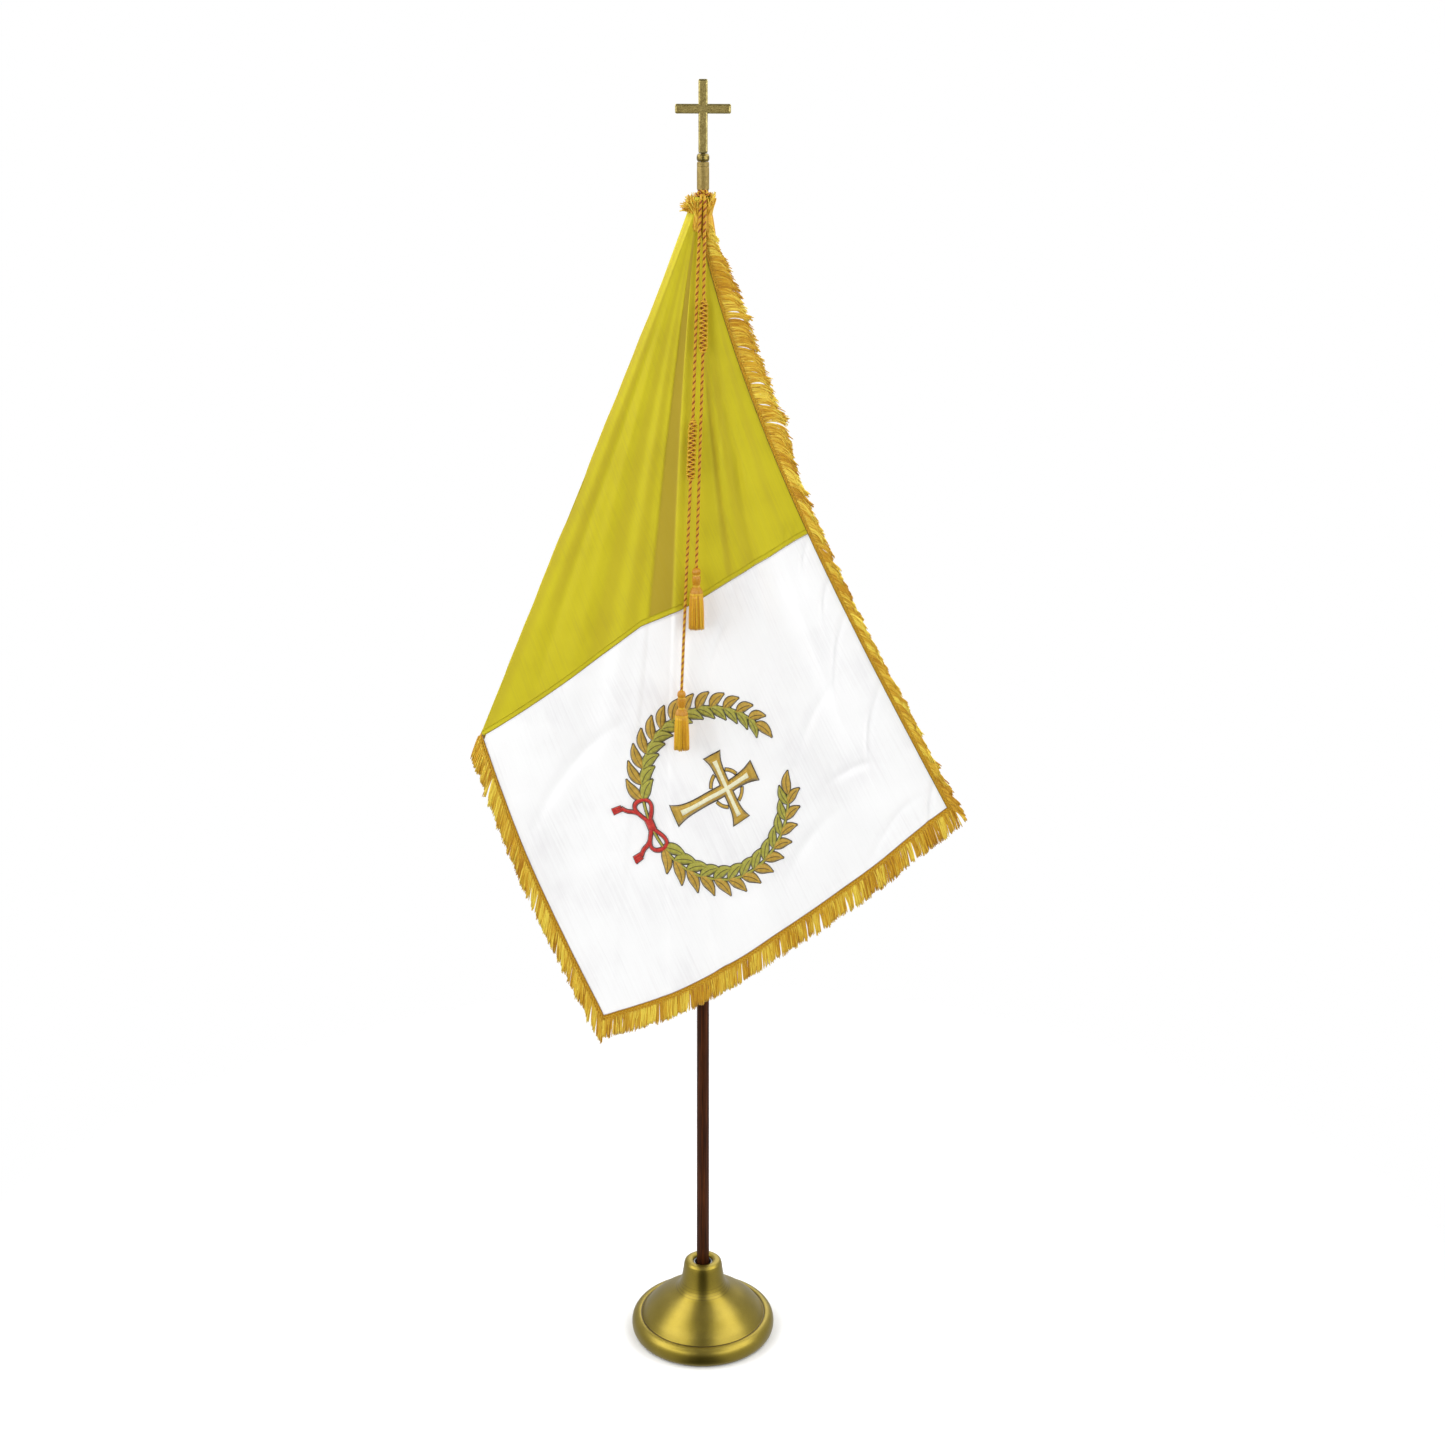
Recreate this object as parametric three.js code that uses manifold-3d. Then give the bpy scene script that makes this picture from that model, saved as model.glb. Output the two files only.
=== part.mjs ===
// Flag pole stand: a weighted spun base, a two-section screwed wooden pole with a cross finial,
// and a fringed flag with a cord and two tassels. Millimetres, +Z up, the front faces -Y.
// The origin is on the pole's axis at floor level.
import * as THREE from 'three';
import { mergeVertices } from 'three/addons/utils/BufferGeometryUtils.js';
import Module from 'manifold-3d';

// Driving dimensions
const GAP = 0.3;
const BASE_R = 155;
const NECK_TOP_Z = 168.6;
const POLE_FOOT_Z = 14;
const POLE_JOINT_Z = 1230;
const POLE_TOP_Z = 2446;
const POLE_FOOT_R = 13.7;
const POLE_TOP_R = 10.1;
const FERRULE_BOTTOM_Z = 2411.5;
const FERRULE_TOP_Z = 2461;
const COLLAR_TOP_Z = 2475.4;
const CROSS_TOP_Z = 2605;
const CROSS_WIDTH = 102;
const CROSS_BAR = 17;
const CROSS_DEPTH = 11;
const CROSS_ARM_Z = 2553.5;
const FLAG_TOP_Z = 2398;
const FLAG_WIDTH = 856;
const FLAG_LENGTH = 1274;
const PANEL_SPLIT = 650;
const CLOTH = 2;
const FRINGE = 48;
const SLEEVE_R = 15.4;
const CORD_R = 3;
const KNOT_R = 7.6;

const wasm = await Module();
wasm.setup();

const group = new THREE.Group();
group.name = 'flag_pole_stand';

const LOOKS = {
  brass: [0xa8913a, 0.38, 1],
  antique: [0x8f8048, 0.45, 1],
  steel: [0x8a8c90, 0.4, 1],
  iron: [0x3a3a3c, 0.8, 0.6],
  felt: [0x2f4a34, 0.95, 0],
  liner: [0x1c1a18, 0.6, 0],
  wood: [0x4a2a18, 0.45, 0],
  leather: [0x5a3a22, 0.7, 0],
  yellow: [0xcdc32a, 0.8, 0],
  white: [0xfafafa, 0.8, 0],
  gold: [0xd9a52b, 0.7, 0],
  cord: [0xc98a24, 0.7, 0],
  thread: [0xb08a2c, 0.75, 0],
};

function addMesh(name, geometry, look) {
  const [color, roughness, metalness] = LOOKS[look];
  const material = new THREE.MeshStandardMaterial({ color, roughness, metalness });
  const mesh = new THREE.Mesh(geometry, material);
  mesh.name = name;
  group.add(mesh);
  return mesh;
}

// Solid of revolution about Z from a closed [radius, height] outline
function lathe(outline, segments) {
  const points = outline.map(([r, z]) => new THREE.Vector2(r, z));
  if (outline[0][0] > 0) {
    points.push(points[0].clone());
  }
  const geometry = new THREE.LatheGeometry(points, segments);
  geometry.rotateX(Math.PI / 2);
  return outward(geometry);
}

function signedVolume(geometry) {
  const position = geometry.getAttribute('position');
  const index = geometry.getIndex();
  const count = index ? index.count : position.count;
  const corner = [new THREE.Vector3(), new THREE.Vector3(), new THREE.Vector3()];
  let total = 0;
  for (let i = 0; i < count; i += 3) {
    for (let k = 0; k < 3; k += 1) {
      corner[k].fromBufferAttribute(position, index ? index.getX(i + k) : i + k);
    }
    total += corner[0].dot(corner[1].clone().cross(corner[2])) / 6;
  }
  return total;
}

// Welds the corners and turns the faces outward
function outward(source) {
  const bare = new THREE.BufferGeometry();
  bare.setAttribute('position', source.getAttribute('position'));
  if (source.getIndex()) {
    bare.setIndex(source.getIndex());
  }
  const welded = mergeVertices(bare, 1e-4);
  const index = Array.from(welded.getIndex().array);
  const kept = [];
  for (let i = 0; i < index.length; i += 3) {
    const [a, b, c] = index.slice(i, i + 3);
    if (a !== b && b !== c && a !== c) {
      kept.push(a, b, c);
    }
  }
  welded.setIndex(kept);
  if (signedVolume(welded) < 0) {
    for (let i = 0; i < kept.length; i += 3) {
      [kept[i + 1], kept[i + 2]] = [kept[i + 2], kept[i + 1]];
    }
    welded.setIndex(kept);
  }
  welded.computeVertexNormals();
  return welded;
}

function toManifold(geometry) {
  const welded = outward(geometry);
  return new wasm.Manifold(new wasm.Mesh({
    numProp: 3,
    vertProperties: new Float32Array(welded.getAttribute('position').array),
    triVerts: new Uint32Array(welded.getIndex().array),
  }));
}

function fromManifold(solid) {
  const mesh = solid.getMesh();
  const geometry = new THREE.BufferGeometry();
  geometry.setAttribute('position', new THREE.BufferAttribute(Float32Array.from(mesh.vertProperties), 3));
  geometry.setIndex(Array.from(mesh.triVerts));
  return outward(geometry);
}

function cut(body, ...tools) {
  let solid = toManifold(body);
  for (const tool of tools) {
    solid = solid.subtract(toManifold(tool));
  }
  return fromManifold(solid);
}

// Round bar between two heights on the Z axis
function rod(radius, z0, z1, segments) {
  return lathe([[0, z0], [radius, z0], [radius, z1], [0, z1]], segments);
}

// Ring between two heights and two radii
function ring(inner, outer, z0, z1, segments) {
  return lathe([[inner, z0], [outer, z0], [outer, z1], [inner, z1]], segments);
}

// Round cord along a path
function cordPiece(path, radius, sides, steps) {
  const circle = new THREE.Shape();
  for (let i = 0; i < sides; i += 1) {
    const angle = (2 * Math.PI * i) / sides;
    const x = radius * Math.cos(angle);
    const y = radius * Math.sin(angle);
    if (i === 0) {
      circle.moveTo(x, y);
    } else {
      circle.lineTo(x, y);
    }
  }
  circle.closePath();
  return outward(new THREE.ExtrudeGeometry(circle, { steps, bevelEnabled: false, extrudePath: path }));
}

// Closed thin body of the given thickness about a grid of points; at(i, j) gives the middle surface
function slab(rows, columns, thickness, at) {
  const middle = [];
  for (let i = 0; i <= rows; i += 1) {
    middle.push([]);
    for (let j = 0; j <= columns; j += 1) {
      middle[i].push(at(i / rows, j / columns));
    }
  }
  const positions = [];
  for (const side of [0.5, -0.5]) {
    for (let i = 0; i <= rows; i += 1) {
      for (let j = 0; j <= columns; j += 1) {
        const alongRow = middle[Math.min(i + 1, rows)][j].clone().sub(middle[Math.max(i - 1, 0)][j]);
        const alongColumn = middle[i][Math.min(j + 1, columns)].clone().sub(middle[i][Math.max(j - 1, 0)]);
        const normal = alongRow.cross(alongColumn).normalize().multiplyScalar(thickness * side);
        positions.push(...middle[i][j].clone().add(normal).toArray());
      }
    }
  }
  const width = columns + 1;
  const half = (rows + 1) * width;
  const index = [];
  for (let i = 0; i < rows; i += 1) {
    for (let j = 0; j < columns; j += 1) {
      const a = i * width + j;
      index.push(a, a + 1, a + width + 1, a, a + width + 1, a + width);
      index.push(half + a, half + a + width + 1, half + a + 1, half + a, half + a + width, half + a + width + 1);
    }
  }
  const edge = [];
  for (let j = 0; j < columns; j += 1) {
    edge.push(j);
  }
  for (let i = 0; i < rows; i += 1) {
    edge.push(i * width + columns);
  }
  for (let j = columns; j > 0; j -= 1) {
    edge.push(rows * width + j);
  }
  for (let i = rows; i > 0; i -= 1) {
    edge.push(i * width);
  }
  edge.forEach((a, k) => {
    const b = edge[(k + 1) % edge.length];
    index.push(a, half + b, b, a, half + a, half + b);
  });
  const geometry = new THREE.BufferGeometry();
  geometry.setAttribute('position', new THREE.Float32BufferAttribute(positions, 3));
  geometry.setIndex(index);
  return outward(geometry);
}

// Pole radius at a height: one straight taper from foot to top
function poleRadius(z) {
  return THREE.MathUtils.mapLinear(z, POLE_FOOT_Z, POLE_TOP_Z, POLE_FOOT_R, POLE_TOP_R);
}

// Base: outline of the outside of the shell, from the mouth of the neck down to the rim
const SHELL_OUTSIDE = [
  [20.2, 164], [22.5, 167.4], [27, NECK_TOP_Z], [35, 167.6], [39.4, 164.2], [41, 158], [42.6, 146],
  [44.6, 133], [47.6, 120], [52.5, 108.5], [60, 99.5], [71, 92], [84, 84.5], [98, 75.5], [112, 64],
  [123, 52.5], [129.2, 43.5], [131.6, 39.6], [134, 38.8], [138, 40], [144.5, 38.6], [150.3, 34.4],
  [153.8, 27.5], [BASE_R, 18.5], [153.9, 9.5], [150.6, 3],
];
const SHELL_INSIDE = [
  [148.4, 3.4], [151.6, 10.3], [152.6, 18.2], [151.6, 26.4], [148.8, 31.9], [143.5, 36], [138, 37.3],
  [133.8, 36.3], [129.9, 37.6], [121.3, 50.4], [97, 73], [69.9, 89.4], [58.5, 96.9], [50.6, 107],
  [45.5, 119.3], [40.4, 145.8], [38.8, 157.8], [37.6, 163], [34.6, 165.3], [27.2, 166.2],
  [24.4, 165.5], [22.4, 162.9],
];

addMesh('base_shell', lathe([...SHELL_OUTSIDE, ...SHELL_INSIDE], 44), 'brass');
addMesh('base_weight', lathe([
  [20.4, 6.3], [144, 6.3], [148, 12], [147, 26], [138, 34], [128, 35.5], [112, 50], [84, 68], [62, 76],
  [20.4, 76],
], 30), 'iron');
addMesh('socket_tube', cut(
  lathe([[0, 6.3], [20, 6.3], [20, 158], [17.6, 158], [17.6, 11], [0, 11]], 28),
  rod(6.4, 0, 14, 16),
), 'steel');
addMesh('bottom_plate', ring(10.4, 147, 4.3, 6, 36), 'steel');
addMesh('felt_pad', rod(145, 0, 2.2, 36), 'felt');

const hexagon = new THREE.CylinderGeometry(8.6, 8.6, 1.7, 6).rotateX(Math.PI / 2).translate(0, 0, 3.4);
addMesh('socket_nut', outward(hexagon), 'steel');
addMesh('socket_washer', ring(8.95, 10.1, 4.4, 5.9, 24), 'steel');
addMesh('neck_liner', ring(17.7, 20, 158.4, 163.2, 28), 'steel');

addMesh('reducer_bush', lathe([
  [0, 11.3], [17.3, 11.3], [17.3, 146], [14.4, 146], [14.4, 13.3], [0, 13.3],
], 28), 'liner');

// Pole sections: the joint end of each is turned down to fit its ferrule and bored for the stud
const TENON = 40;
const TENON_R = 10.4;
const STUD_R = 4.6;

const footRadius = poleRadius(60);
addMesh('lower_pole', cut(
  lathe([
    [0, POLE_FOOT_Z + 1.8], [footRadius - 1.2, POLE_FOOT_Z + 1.8], [footRadius - 1.2, 52],
    [footRadius, 52], [poleRadius(POLE_JOINT_Z - TENON), POLE_JOINT_Z - TENON],
    [TENON_R, POLE_JOINT_Z - TENON], [TENON_R, POLE_JOINT_Z - 8.3], [0, POLE_JOINT_Z - 8.3],
  ], 24),
  rod(STUD_R + 0.4, POLE_JOINT_Z - 34, POLE_JOINT_Z, 16),
), 'wood');
addMesh('pole_foot', lathe([
  [0, POLE_FOOT_Z], [footRadius - 0.1, POLE_FOOT_Z], [footRadius + 0.2, 16], [footRadius + 0.2, 51.7],
  [footRadius - 0.9, 51.7], [footRadius - 0.9, POLE_FOOT_Z + 1.5], [0, POLE_FOOT_Z + 1.5],
], 24), 'brass');

// Ferrule of the screw joint, with its solid end at z and its mouth `length` away
function jointFerrule(z, direction, outer) {
  const mouth = z + direction * (TENON - 0.6);
  const web = z + direction * 7.8;
  const face = z + direction * GAP;
  return lathe([
    [STUD_R + 0.3, face], [outer - 0.8, face], [outer, face + direction * 1.2],
    [outer, mouth - direction * 1.2], [outer - 0.6, mouth], [TENON_R + GAP, mouth],
    [TENON_R + GAP, web], [STUD_R + 0.3, web],
  ], 24);
}

const JOINT_R = poleRadius(POLE_JOINT_Z) + 1.1;
addMesh('joint_ferrule_lower', jointFerrule(POLE_JOINT_Z, -1, JOINT_R), 'brass');
addMesh('joint_ferrule_upper', jointFerrule(POLE_JOINT_Z, 1, JOINT_R), 'brass');
addMesh('joint_stud', rod(STUD_R, POLE_JOINT_Z - 30, POLE_JOINT_Z + 30, 16), 'steel');

// Leather tabs inside the sleeve, each with a screw into the pole at the back
const TAB_ZS = { top: 2340, bottom: 1600 };
const SCREW_R = 1.5;

function screwHole(z, radius, y0, y1) {
  return new THREE.CylinderGeometry(radius, radius, y1 - y0, 12).translate(0, (y0 + y1) / 2, z);
}

addMesh('upper_pole', cut(
  lathe([
    [0, POLE_JOINT_Z + 8.3], [TENON_R, POLE_JOINT_Z + 8.3], [TENON_R, POLE_JOINT_Z + TENON],
    [poleRadius(POLE_JOINT_Z + TENON), POLE_JOINT_Z + TENON], [POLE_TOP_R, POLE_TOP_Z],
    [0, POLE_TOP_Z],
  ], 24),
  rod(STUD_R + 0.4, POLE_JOINT_Z, POLE_JOINT_Z + 34, 16),
  rod(4.4, POLE_TOP_Z - 22, POLE_TOP_Z + 5, 16),
  screwHole(TAB_ZS.top, SCREW_R + GAP, 3, 20),
  screwHole(TAB_ZS.bottom, SCREW_R + GAP, 3, 20),
), 'wood');

for (const [place, z] of Object.entries(TAB_ZS)) {
  const inner = poleRadius(z - 20) + 0.3;
  const tab = slab(2, 6, 1, (s, t) => {
    const angle = THREE.MathUtils.degToRad(60 + 60 * t);
    const radius = inner + 0.6;
    return new THREE.Vector3(radius * Math.cos(angle), radius * Math.sin(angle), z - 20 + 40 * s);
  });
  addMesh(`tab_${place}`, cut(tab, screwHole(z, SCREW_R + GAP, 3, 20)), 'leather');
  const head = inner + 1.15;
  addMesh(`tab_screw_${place}`, outward(new THREE.LatheGeometry([
    new THREE.Vector2(0, 3.5), new THREE.Vector2(SCREW_R, 3.5), new THREE.Vector2(SCREW_R, head),
    new THREE.Vector2(2.7, head), new THREE.Vector2(2.5, head + 0.4), new THREE.Vector2(0, head + 0.4),
  ], 12).translate(0, 0, z)), 'brass');
}

addMesh('finial_ferrule', lathe([
  [4.5, FERRULE_TOP_Z - 6], [4.5, FERRULE_TOP_Z - 0.6], [5.2, FERRULE_TOP_Z], [9.8, FERRULE_TOP_Z],
  [11.2, FERRULE_TOP_Z - 1.4], [11.2, 2452.4], [10.7, 2451.6], [11.3, 2450.6],
  [11.3, FERRULE_BOTTOM_Z + 0.8], [11.1, FERRULE_BOTTOM_Z], [10.5, FERRULE_BOTTOM_Z],
  [10.5, POLE_TOP_Z + 1.5], [8, POLE_TOP_Z + 3], [4.5, POLE_TOP_Z + 4],
], 24), 'antique');

addMesh('finial_collar', lathe([
  [4.5, FERRULE_TOP_Z + GAP], [9.6, FERRULE_TOP_Z + GAP], [11.4, 2464], [11.8, 2468], [11.2, 2472],
  [9, COLLAR_TOP_Z], [4.5, COLLAR_TOP_Z],
], 24), 'antique');
addMesh('finial_spindle', rod(4.1, POLE_TOP_Z - 18, COLLAR_TOP_Z + 20, 16), 'steel');

function crossGeometry() {
  const bevel = 1.6;
  const bar = CROSS_BAR / 2 - bevel;
  const reach = CROSS_WIDTH / 2 - bevel;
  const foot = COLLAR_TOP_Z + GAP + bevel;
  const top = CROSS_TOP_Z - bevel;
  const corners = [
    [-bar, foot], [bar, foot], [bar, CROSS_ARM_Z - bar], [reach, CROSS_ARM_Z - bar],
    [reach, CROSS_ARM_Z + bar], [bar, CROSS_ARM_Z + bar], [bar, top], [-bar, top],
    [-bar, CROSS_ARM_Z + bar], [-reach, CROSS_ARM_Z + bar], [-reach, CROSS_ARM_Z - bar],
    [-bar, CROSS_ARM_Z - bar],
  ];
  const outline = new THREE.Shape(corners.map(([x, z]) => new THREE.Vector2(x, z)));
  const solid = new THREE.ExtrudeGeometry(outline, {
    depth: CROSS_DEPTH - 2 * bevel,
    bevelThickness: bevel,
    bevelSize: bevel,
    bevelSegments: 2,
  });
  solid.translate(0, 0, -CROSS_DEPTH / 2 + bevel);
  solid.rotateX(Math.PI / 2);
  return cut(solid, rod(4.4, COLLAR_TOP_Z - 5, COLLAR_TOP_Z + 21, 16));
}
addMesh('finial_cross', crossGeometry(), 'antique');

// The flag hangs from its top hoist corner. Its rays run from that corner to the far edges: the top
// edge down to the right, the fly edge across the front, then round a soft fold on the left and back
// to the sleeve in three pleats. A point is given by cloth coordinates u along the top edge from the
// sleeve and v down from the top edge.
const TOP_CORNER = new THREE.Vector3(500, -56, 1225);
const LOW_CORNER = new THREE.Vector3(-209, -44, 752);
const FOLD_CORNER = new THREE.Vector3(-446, -14, 1357);
const HOIST_CORNER = new THREE.Vector3(-18.5, 0, FLAG_TOP_Z - FLAG_WIDTH);
const CORNER_ANGLE = Math.atan2(FLAG_WIDTH, FLAG_LENGTH);
const FOLD_ANGLE = Math.atan2(FLAG_WIDTH, PANEL_SPLIT);
const PLEATS = 3;
const PLEAT_DEPTH = 78;
const TOP_EDGE_SAG = 48;
const FLY_EDGE_SAG = 50;
const FOOT_EDGE_SAG = 16;
const BIAS_STRETCH = 0.11;
const SOFT_WAVES = [[0.16, -12, 0.07], [0.36, 11, 0.09], [0.55, -9, 0.07], [0.72, 10, 0.08]];

// Length of the ray at a cloth angle, from the corner to the far edge
function rayLength(angle) {
  return angle <= CORNER_ANGLE ? FLAG_LENGTH / Math.cos(angle) : FLAG_WIDTH / Math.sin(angle);
}

// Where the ray starts, on a ring round the top of the pole
function rayStart(angle) {
  const turn = THREE.MathUtils.smoothstep(angle, FOLD_ANGLE - 0.05, FOLD_ANGLE + 0.05);
  const front = new THREE.Vector3(THREE.MathUtils.lerp(-7, -5, angle / FOLD_ANGLE), -25, FLAG_TOP_Z);
  const back = new THREE.Vector3(-18.5, 0, FLAG_TOP_Z);
  return front.lerp(back, turn);
}

// Where the ray ends, on the far edge of the cloth
function rayEnd(angle) {
  const share = angle / FOLD_ANGLE;
  let end;
  if (angle <= CORNER_ANGLE) {
    const down = (FLAG_LENGTH * Math.tan(angle)) / FLAG_WIDTH;
    end = TOP_CORNER.clone().lerp(LOW_CORNER, down);
    const sag = FLY_EDGE_SAG * Math.sin(Math.PI * down ** 1.3);
    end.x += 0.39 * sag;
    end.z -= 0.92 * sag;
  } else {
    const u = FLAG_WIDTH / Math.tan(angle);
    const along = (FLAG_LENGTH - u) / (FLAG_LENGTH - PANEL_SPLIT);
    end = LOW_CORNER.clone().lerp(FOLD_CORNER, along);
    const sag = FOOT_EDGE_SAG * Math.sin(Math.PI * THREE.MathUtils.clamp(along, 0, 1));
    end.x -= 0.93 * sag;
    end.z -= 0.36 * sag;
  }
  for (const [place, depth, spread] of SOFT_WAVES) {
    end.y += depth * Math.exp(-(((share - place) / spread) ** 2));
  }
  if (angle > FOLD_ANGLE) {
    const along = (PANEL_SPLIT - FLAG_WIDTH / Math.tan(angle)) / PANEL_SPLIT;
    const back = FOLD_CORNER.clone().lerp(HOIST_CORNER, along);
    const pleat = 0.5 - 0.5 * Math.cos(2 * Math.PI * PLEATS * along);
    back.y = THREE.MathUtils.lerp(12, 2, along) + PLEAT_DEPTH * pleat;
    const turn = THREE.MathUtils.smoothstep(angle, FOLD_ANGLE, FOLD_ANGLE + 0.05);
    const slack = THREE.MathUtils.lerp(end.y, back.y, turn);
    end = back;
    end.y = slack;
  }
  return end;
}

// Point of the cloth on a ray, at a distance from the corner measured in the flat cloth
function clothPoint(angle, distance) {
  const start = rayStart(angle);
  const even = distance / rayLength(angle);
  const within = Math.min(even, 1);
  const bias = BIAS_STRETCH * Math.sin(Math.PI * Math.min(angle / FOLD_ANGLE, 1));
  const share = even - bias * within * (1 - within);
  const point = start.clone().lerp(rayEnd(angle), share);
  const sag = TOP_EDGE_SAG * Math.sin(Math.PI * within ** 0.75) * Math.max(0, 1 - angle / FOLD_ANGLE);
  point.x -= 0.92 * sag;
  point.z -= 0.39 * sag;
  return point;
}

const START_R = 26;
const foldSpan = Math.PI / 2;

// The cloth angle across the front, with one step exactly at the low fly corner
function frontAngle(t) {
  const corner = 2 / 3;
  return t <= corner ? (t / corner) * CORNER_ANGLE
    : THREE.MathUtils.lerp(CORNER_ANGLE, FOLD_ANGLE, (t - corner) / (1 - corner));
}

// The cloth angle across the front, round the fold and through the pleats
function hoistAngle(t) {
  const front = 0.36;
  if (t <= front) {
    return frontAngle(t / front);
  }
  const u = PANEL_SPLIT * (1 - (t - front) / (1 - front));
  return Math.min(Math.atan2(FLAG_WIDTH, u), foldSpan);
}

addMesh('flag_hoist_panel', slab(50, 3, CLOTH, (s, t) => {
  const angle = hoistAngle(s);
  const far = angle <= FOLD_ANGLE ? PANEL_SPLIT / Math.cos(angle) : FLAG_WIDTH / Math.sin(angle);
  return clothPoint(angle, THREE.MathUtils.lerp(START_R, far - GAP, t));
}), 'yellow');

addMesh('flag_fly_panel', slab(18, 4, CLOTH, (s, t) => {
  const angle = Math.min(frontAngle(s), FOLD_ANGLE - 0.012);
  const near = PANEL_SPLIT / Math.cos(angle) + 1;
  return clothPoint(angle, THREE.MathUtils.lerp(near, rayLength(angle) - GAP, t));
}), 'white');

addMesh('flag_sleeve', ring(SLEEVE_R - 1.6, SLEEVE_R, FLAG_TOP_Z - FLAG_WIDTH, FLAG_TOP_Z, 24), 'yellow');

// Embroidered ornament: a round field on the white panel, its middle at cloth point (u, v)
const EMBLEM_U = 978;
const EMBLEM_V = 428;
const EMBLEM_R = 210;
addMesh('flag_emblem', slab(9, 9, 0.8, (s, t) => {
  const x = 2 * s - 1;
  const y = 2 * t - 1;
  const u = EMBLEM_U + EMBLEM_R * x * Math.sqrt(1 - (y * y) / 2);
  const v = EMBLEM_V + EMBLEM_R * y * Math.sqrt(1 - (x * x) / 2);
  const point = clothPoint(Math.atan2(v, u), Math.hypot(u, v));
  point.y -= 3.2;
  return point;
}), 'thread');

// Fringe: header tape and strands as one band along each free edge
const BAND = 4;
const DROP_NEAR_POLE = new THREE.Vector3(0.8, -0.1, -0.5);
const DROP_FAR_OUT = new THREE.Vector3(0.8, -0.14, -0.25);
addMesh('fringe_top', slab(16, 2, BAND, (s, t) => {
  const edge = clothPoint(0, THREE.MathUtils.lerp(40, FLAG_LENGTH - GAP, s));
  const drop = DROP_NEAR_POLE.clone().lerp(DROP_FAR_OUT, THREE.MathUtils.smoothstep(s, 0, 0.12));
  edge.y -= 3;
  return edge.addScaledVector(drop.normalize(), THREE.MathUtils.lerp(3, FRINGE, t));
}), 'gold');
addMesh('fringe_fly', slab(18, 2, BAND, (s, t) => {
  const angle = s * (CORNER_ANGLE - 0.004);
  const reach = FRINGE * THREE.MathUtils.lerp(1, 0.75, s ** 6);
  return clothPoint(angle, rayLength(angle) + THREE.MathUtils.lerp(1.6, reach, t));
}), 'gold');
addMesh('fringe_bottom', slab(52, 2, BAND, (s, t) => {
  const u = THREE.MathUtils.lerp(FLAG_LENGTH, 6, s);
  const angle = Math.atan2(FLAG_WIDTH, u);
  const reach = FRINGE * THREE.MathUtils.lerp(1.1, 0.75, (1 - s) ** 12);
  return clothPoint(angle, rayLength(angle) + THREE.MathUtils.lerp(1.6, reach, t));
}), 'gold');

// Cord: a ring round the pole, a hitch in front, then two strands that hang before the flag
const RING_Z = 2405;
const torus = new THREE.TorusGeometry(14.2, CORD_R, 8, 24).translate(0, 0, RING_Z);
addMesh('cord_ring', outward(torus), 'cord');
const hitch = new THREE.SphereGeometry(1, 12, 8).scale(8, 6, 5).translate(0, -24, RING_Z);
addMesh('cord_hitch', outward(hitch), 'cord');

const STRAND_TOP = 2394;
const STRAND_FRONT = -35.5;
const STRANDS = [
  { name: 'short', xs: [[2394, 3.6], [2216, 1.6], [2120, 0.4], [1717, -12]], knot: [2216, 2120] },
  { name: 'long', xs: [[2394, -3.6], [2216, -11.4], [1995, -18], [1476, -41]], knot: [1995, 1882] },
];

// Middle line of a hanging cord: it leans forward a little, clear of the cloth
function strandPoint(strand, z) {
  const i = Math.max(1, strand.xs.findIndex(([height]) => height <= z));
  const [z0, x0] = strand.xs[i - 1];
  const [z1, x1] = strand.xs[i];
  const x = THREE.MathUtils.mapLinear(z, z0, z1, x0, x1);
  return new THREE.Vector3(x, STRAND_FRONT - 0.044 * (STRAND_TOP - z), z);
}

function strandPath(strand, z0, z1, steps) {
  const points = [];
  for (let i = 0; i <= steps; i += 1) {
    points.push(strandPoint(strand, THREE.MathUtils.lerp(z0, z1, i / steps)));
  }
  return new THREE.CatmullRomCurve3(points);
}

// Body of revolution that hangs along a strand below a height
function hangingLathe(strand, z, outline, flatten, segments) {
  const geometry = lathe(outline, segments);
  geometry.scale(1, flatten, 1);
  const at = strandPoint(strand, z);
  geometry.translate(at.x, at.y, z);
  return outward(geometry);
}

for (const strand of STRANDS) {
  const [knotTop, knotBottom] = strand.knot;
  const length = knotTop - knotBottom;
  const endZ = strand.xs.at(-1)[0];
  addMesh(`cord_${strand.name}_upper`, cordPiece(
    strandPath(strand, STRAND_TOP, knotTop + GAP, 6), CORD_R, 8, 12,
  ), 'cord');
  addMesh(`cord_${strand.name}_lower`, cordPiece(
    strandPath(strand, knotBottom - GAP, endZ, 6), CORD_R, 8, 12,
  ), 'cord');
  addMesh(`cord_${strand.name}_knot`, hangingLathe(strand, (knotTop + knotBottom) / 2, [
    [0, length / 2], [4.5, length / 2 - 0.5], [KNOT_R, length / 2 - 10], [KNOT_R, 10 - length / 2],
    [4.5, 0.5 - length / 2], [0, -length / 2],
  ], 0.7, 14), 'cord');
  const top = endZ - GAP;
  addMesh(`tassel_${strand.name}_head`, hangingLathe(strand, top, [
    [0, 0], [3.2, -2], [5.4, -3.2], [7.6, -7.5], [7.9, -11], [6.6, -16], [7.2, -19], [7.4, -34], [6.8, -37],
    [9, -40], [11.6, -46], [12.2, -53], [0, -53],
  ], 1, 14), 'gold');
  addMesh(`tassel_${strand.name}_skirt`, hangingLathe(strand, top, [
    [0, -53.3], [12, -53.3], [13, -70], [14.4, -96], [15.6, -123], [0, -123],
  ], 1, 14), 'gold');
}

export default group;
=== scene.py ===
"""Flag pole stand: its visible surfaces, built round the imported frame.

Metres, +Z up, the flag's front faces -Y, the pole's axis is the Z axis.
"""
import math

import bpy
import numpy as np
from mathutils import Matrix, Vector


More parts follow.
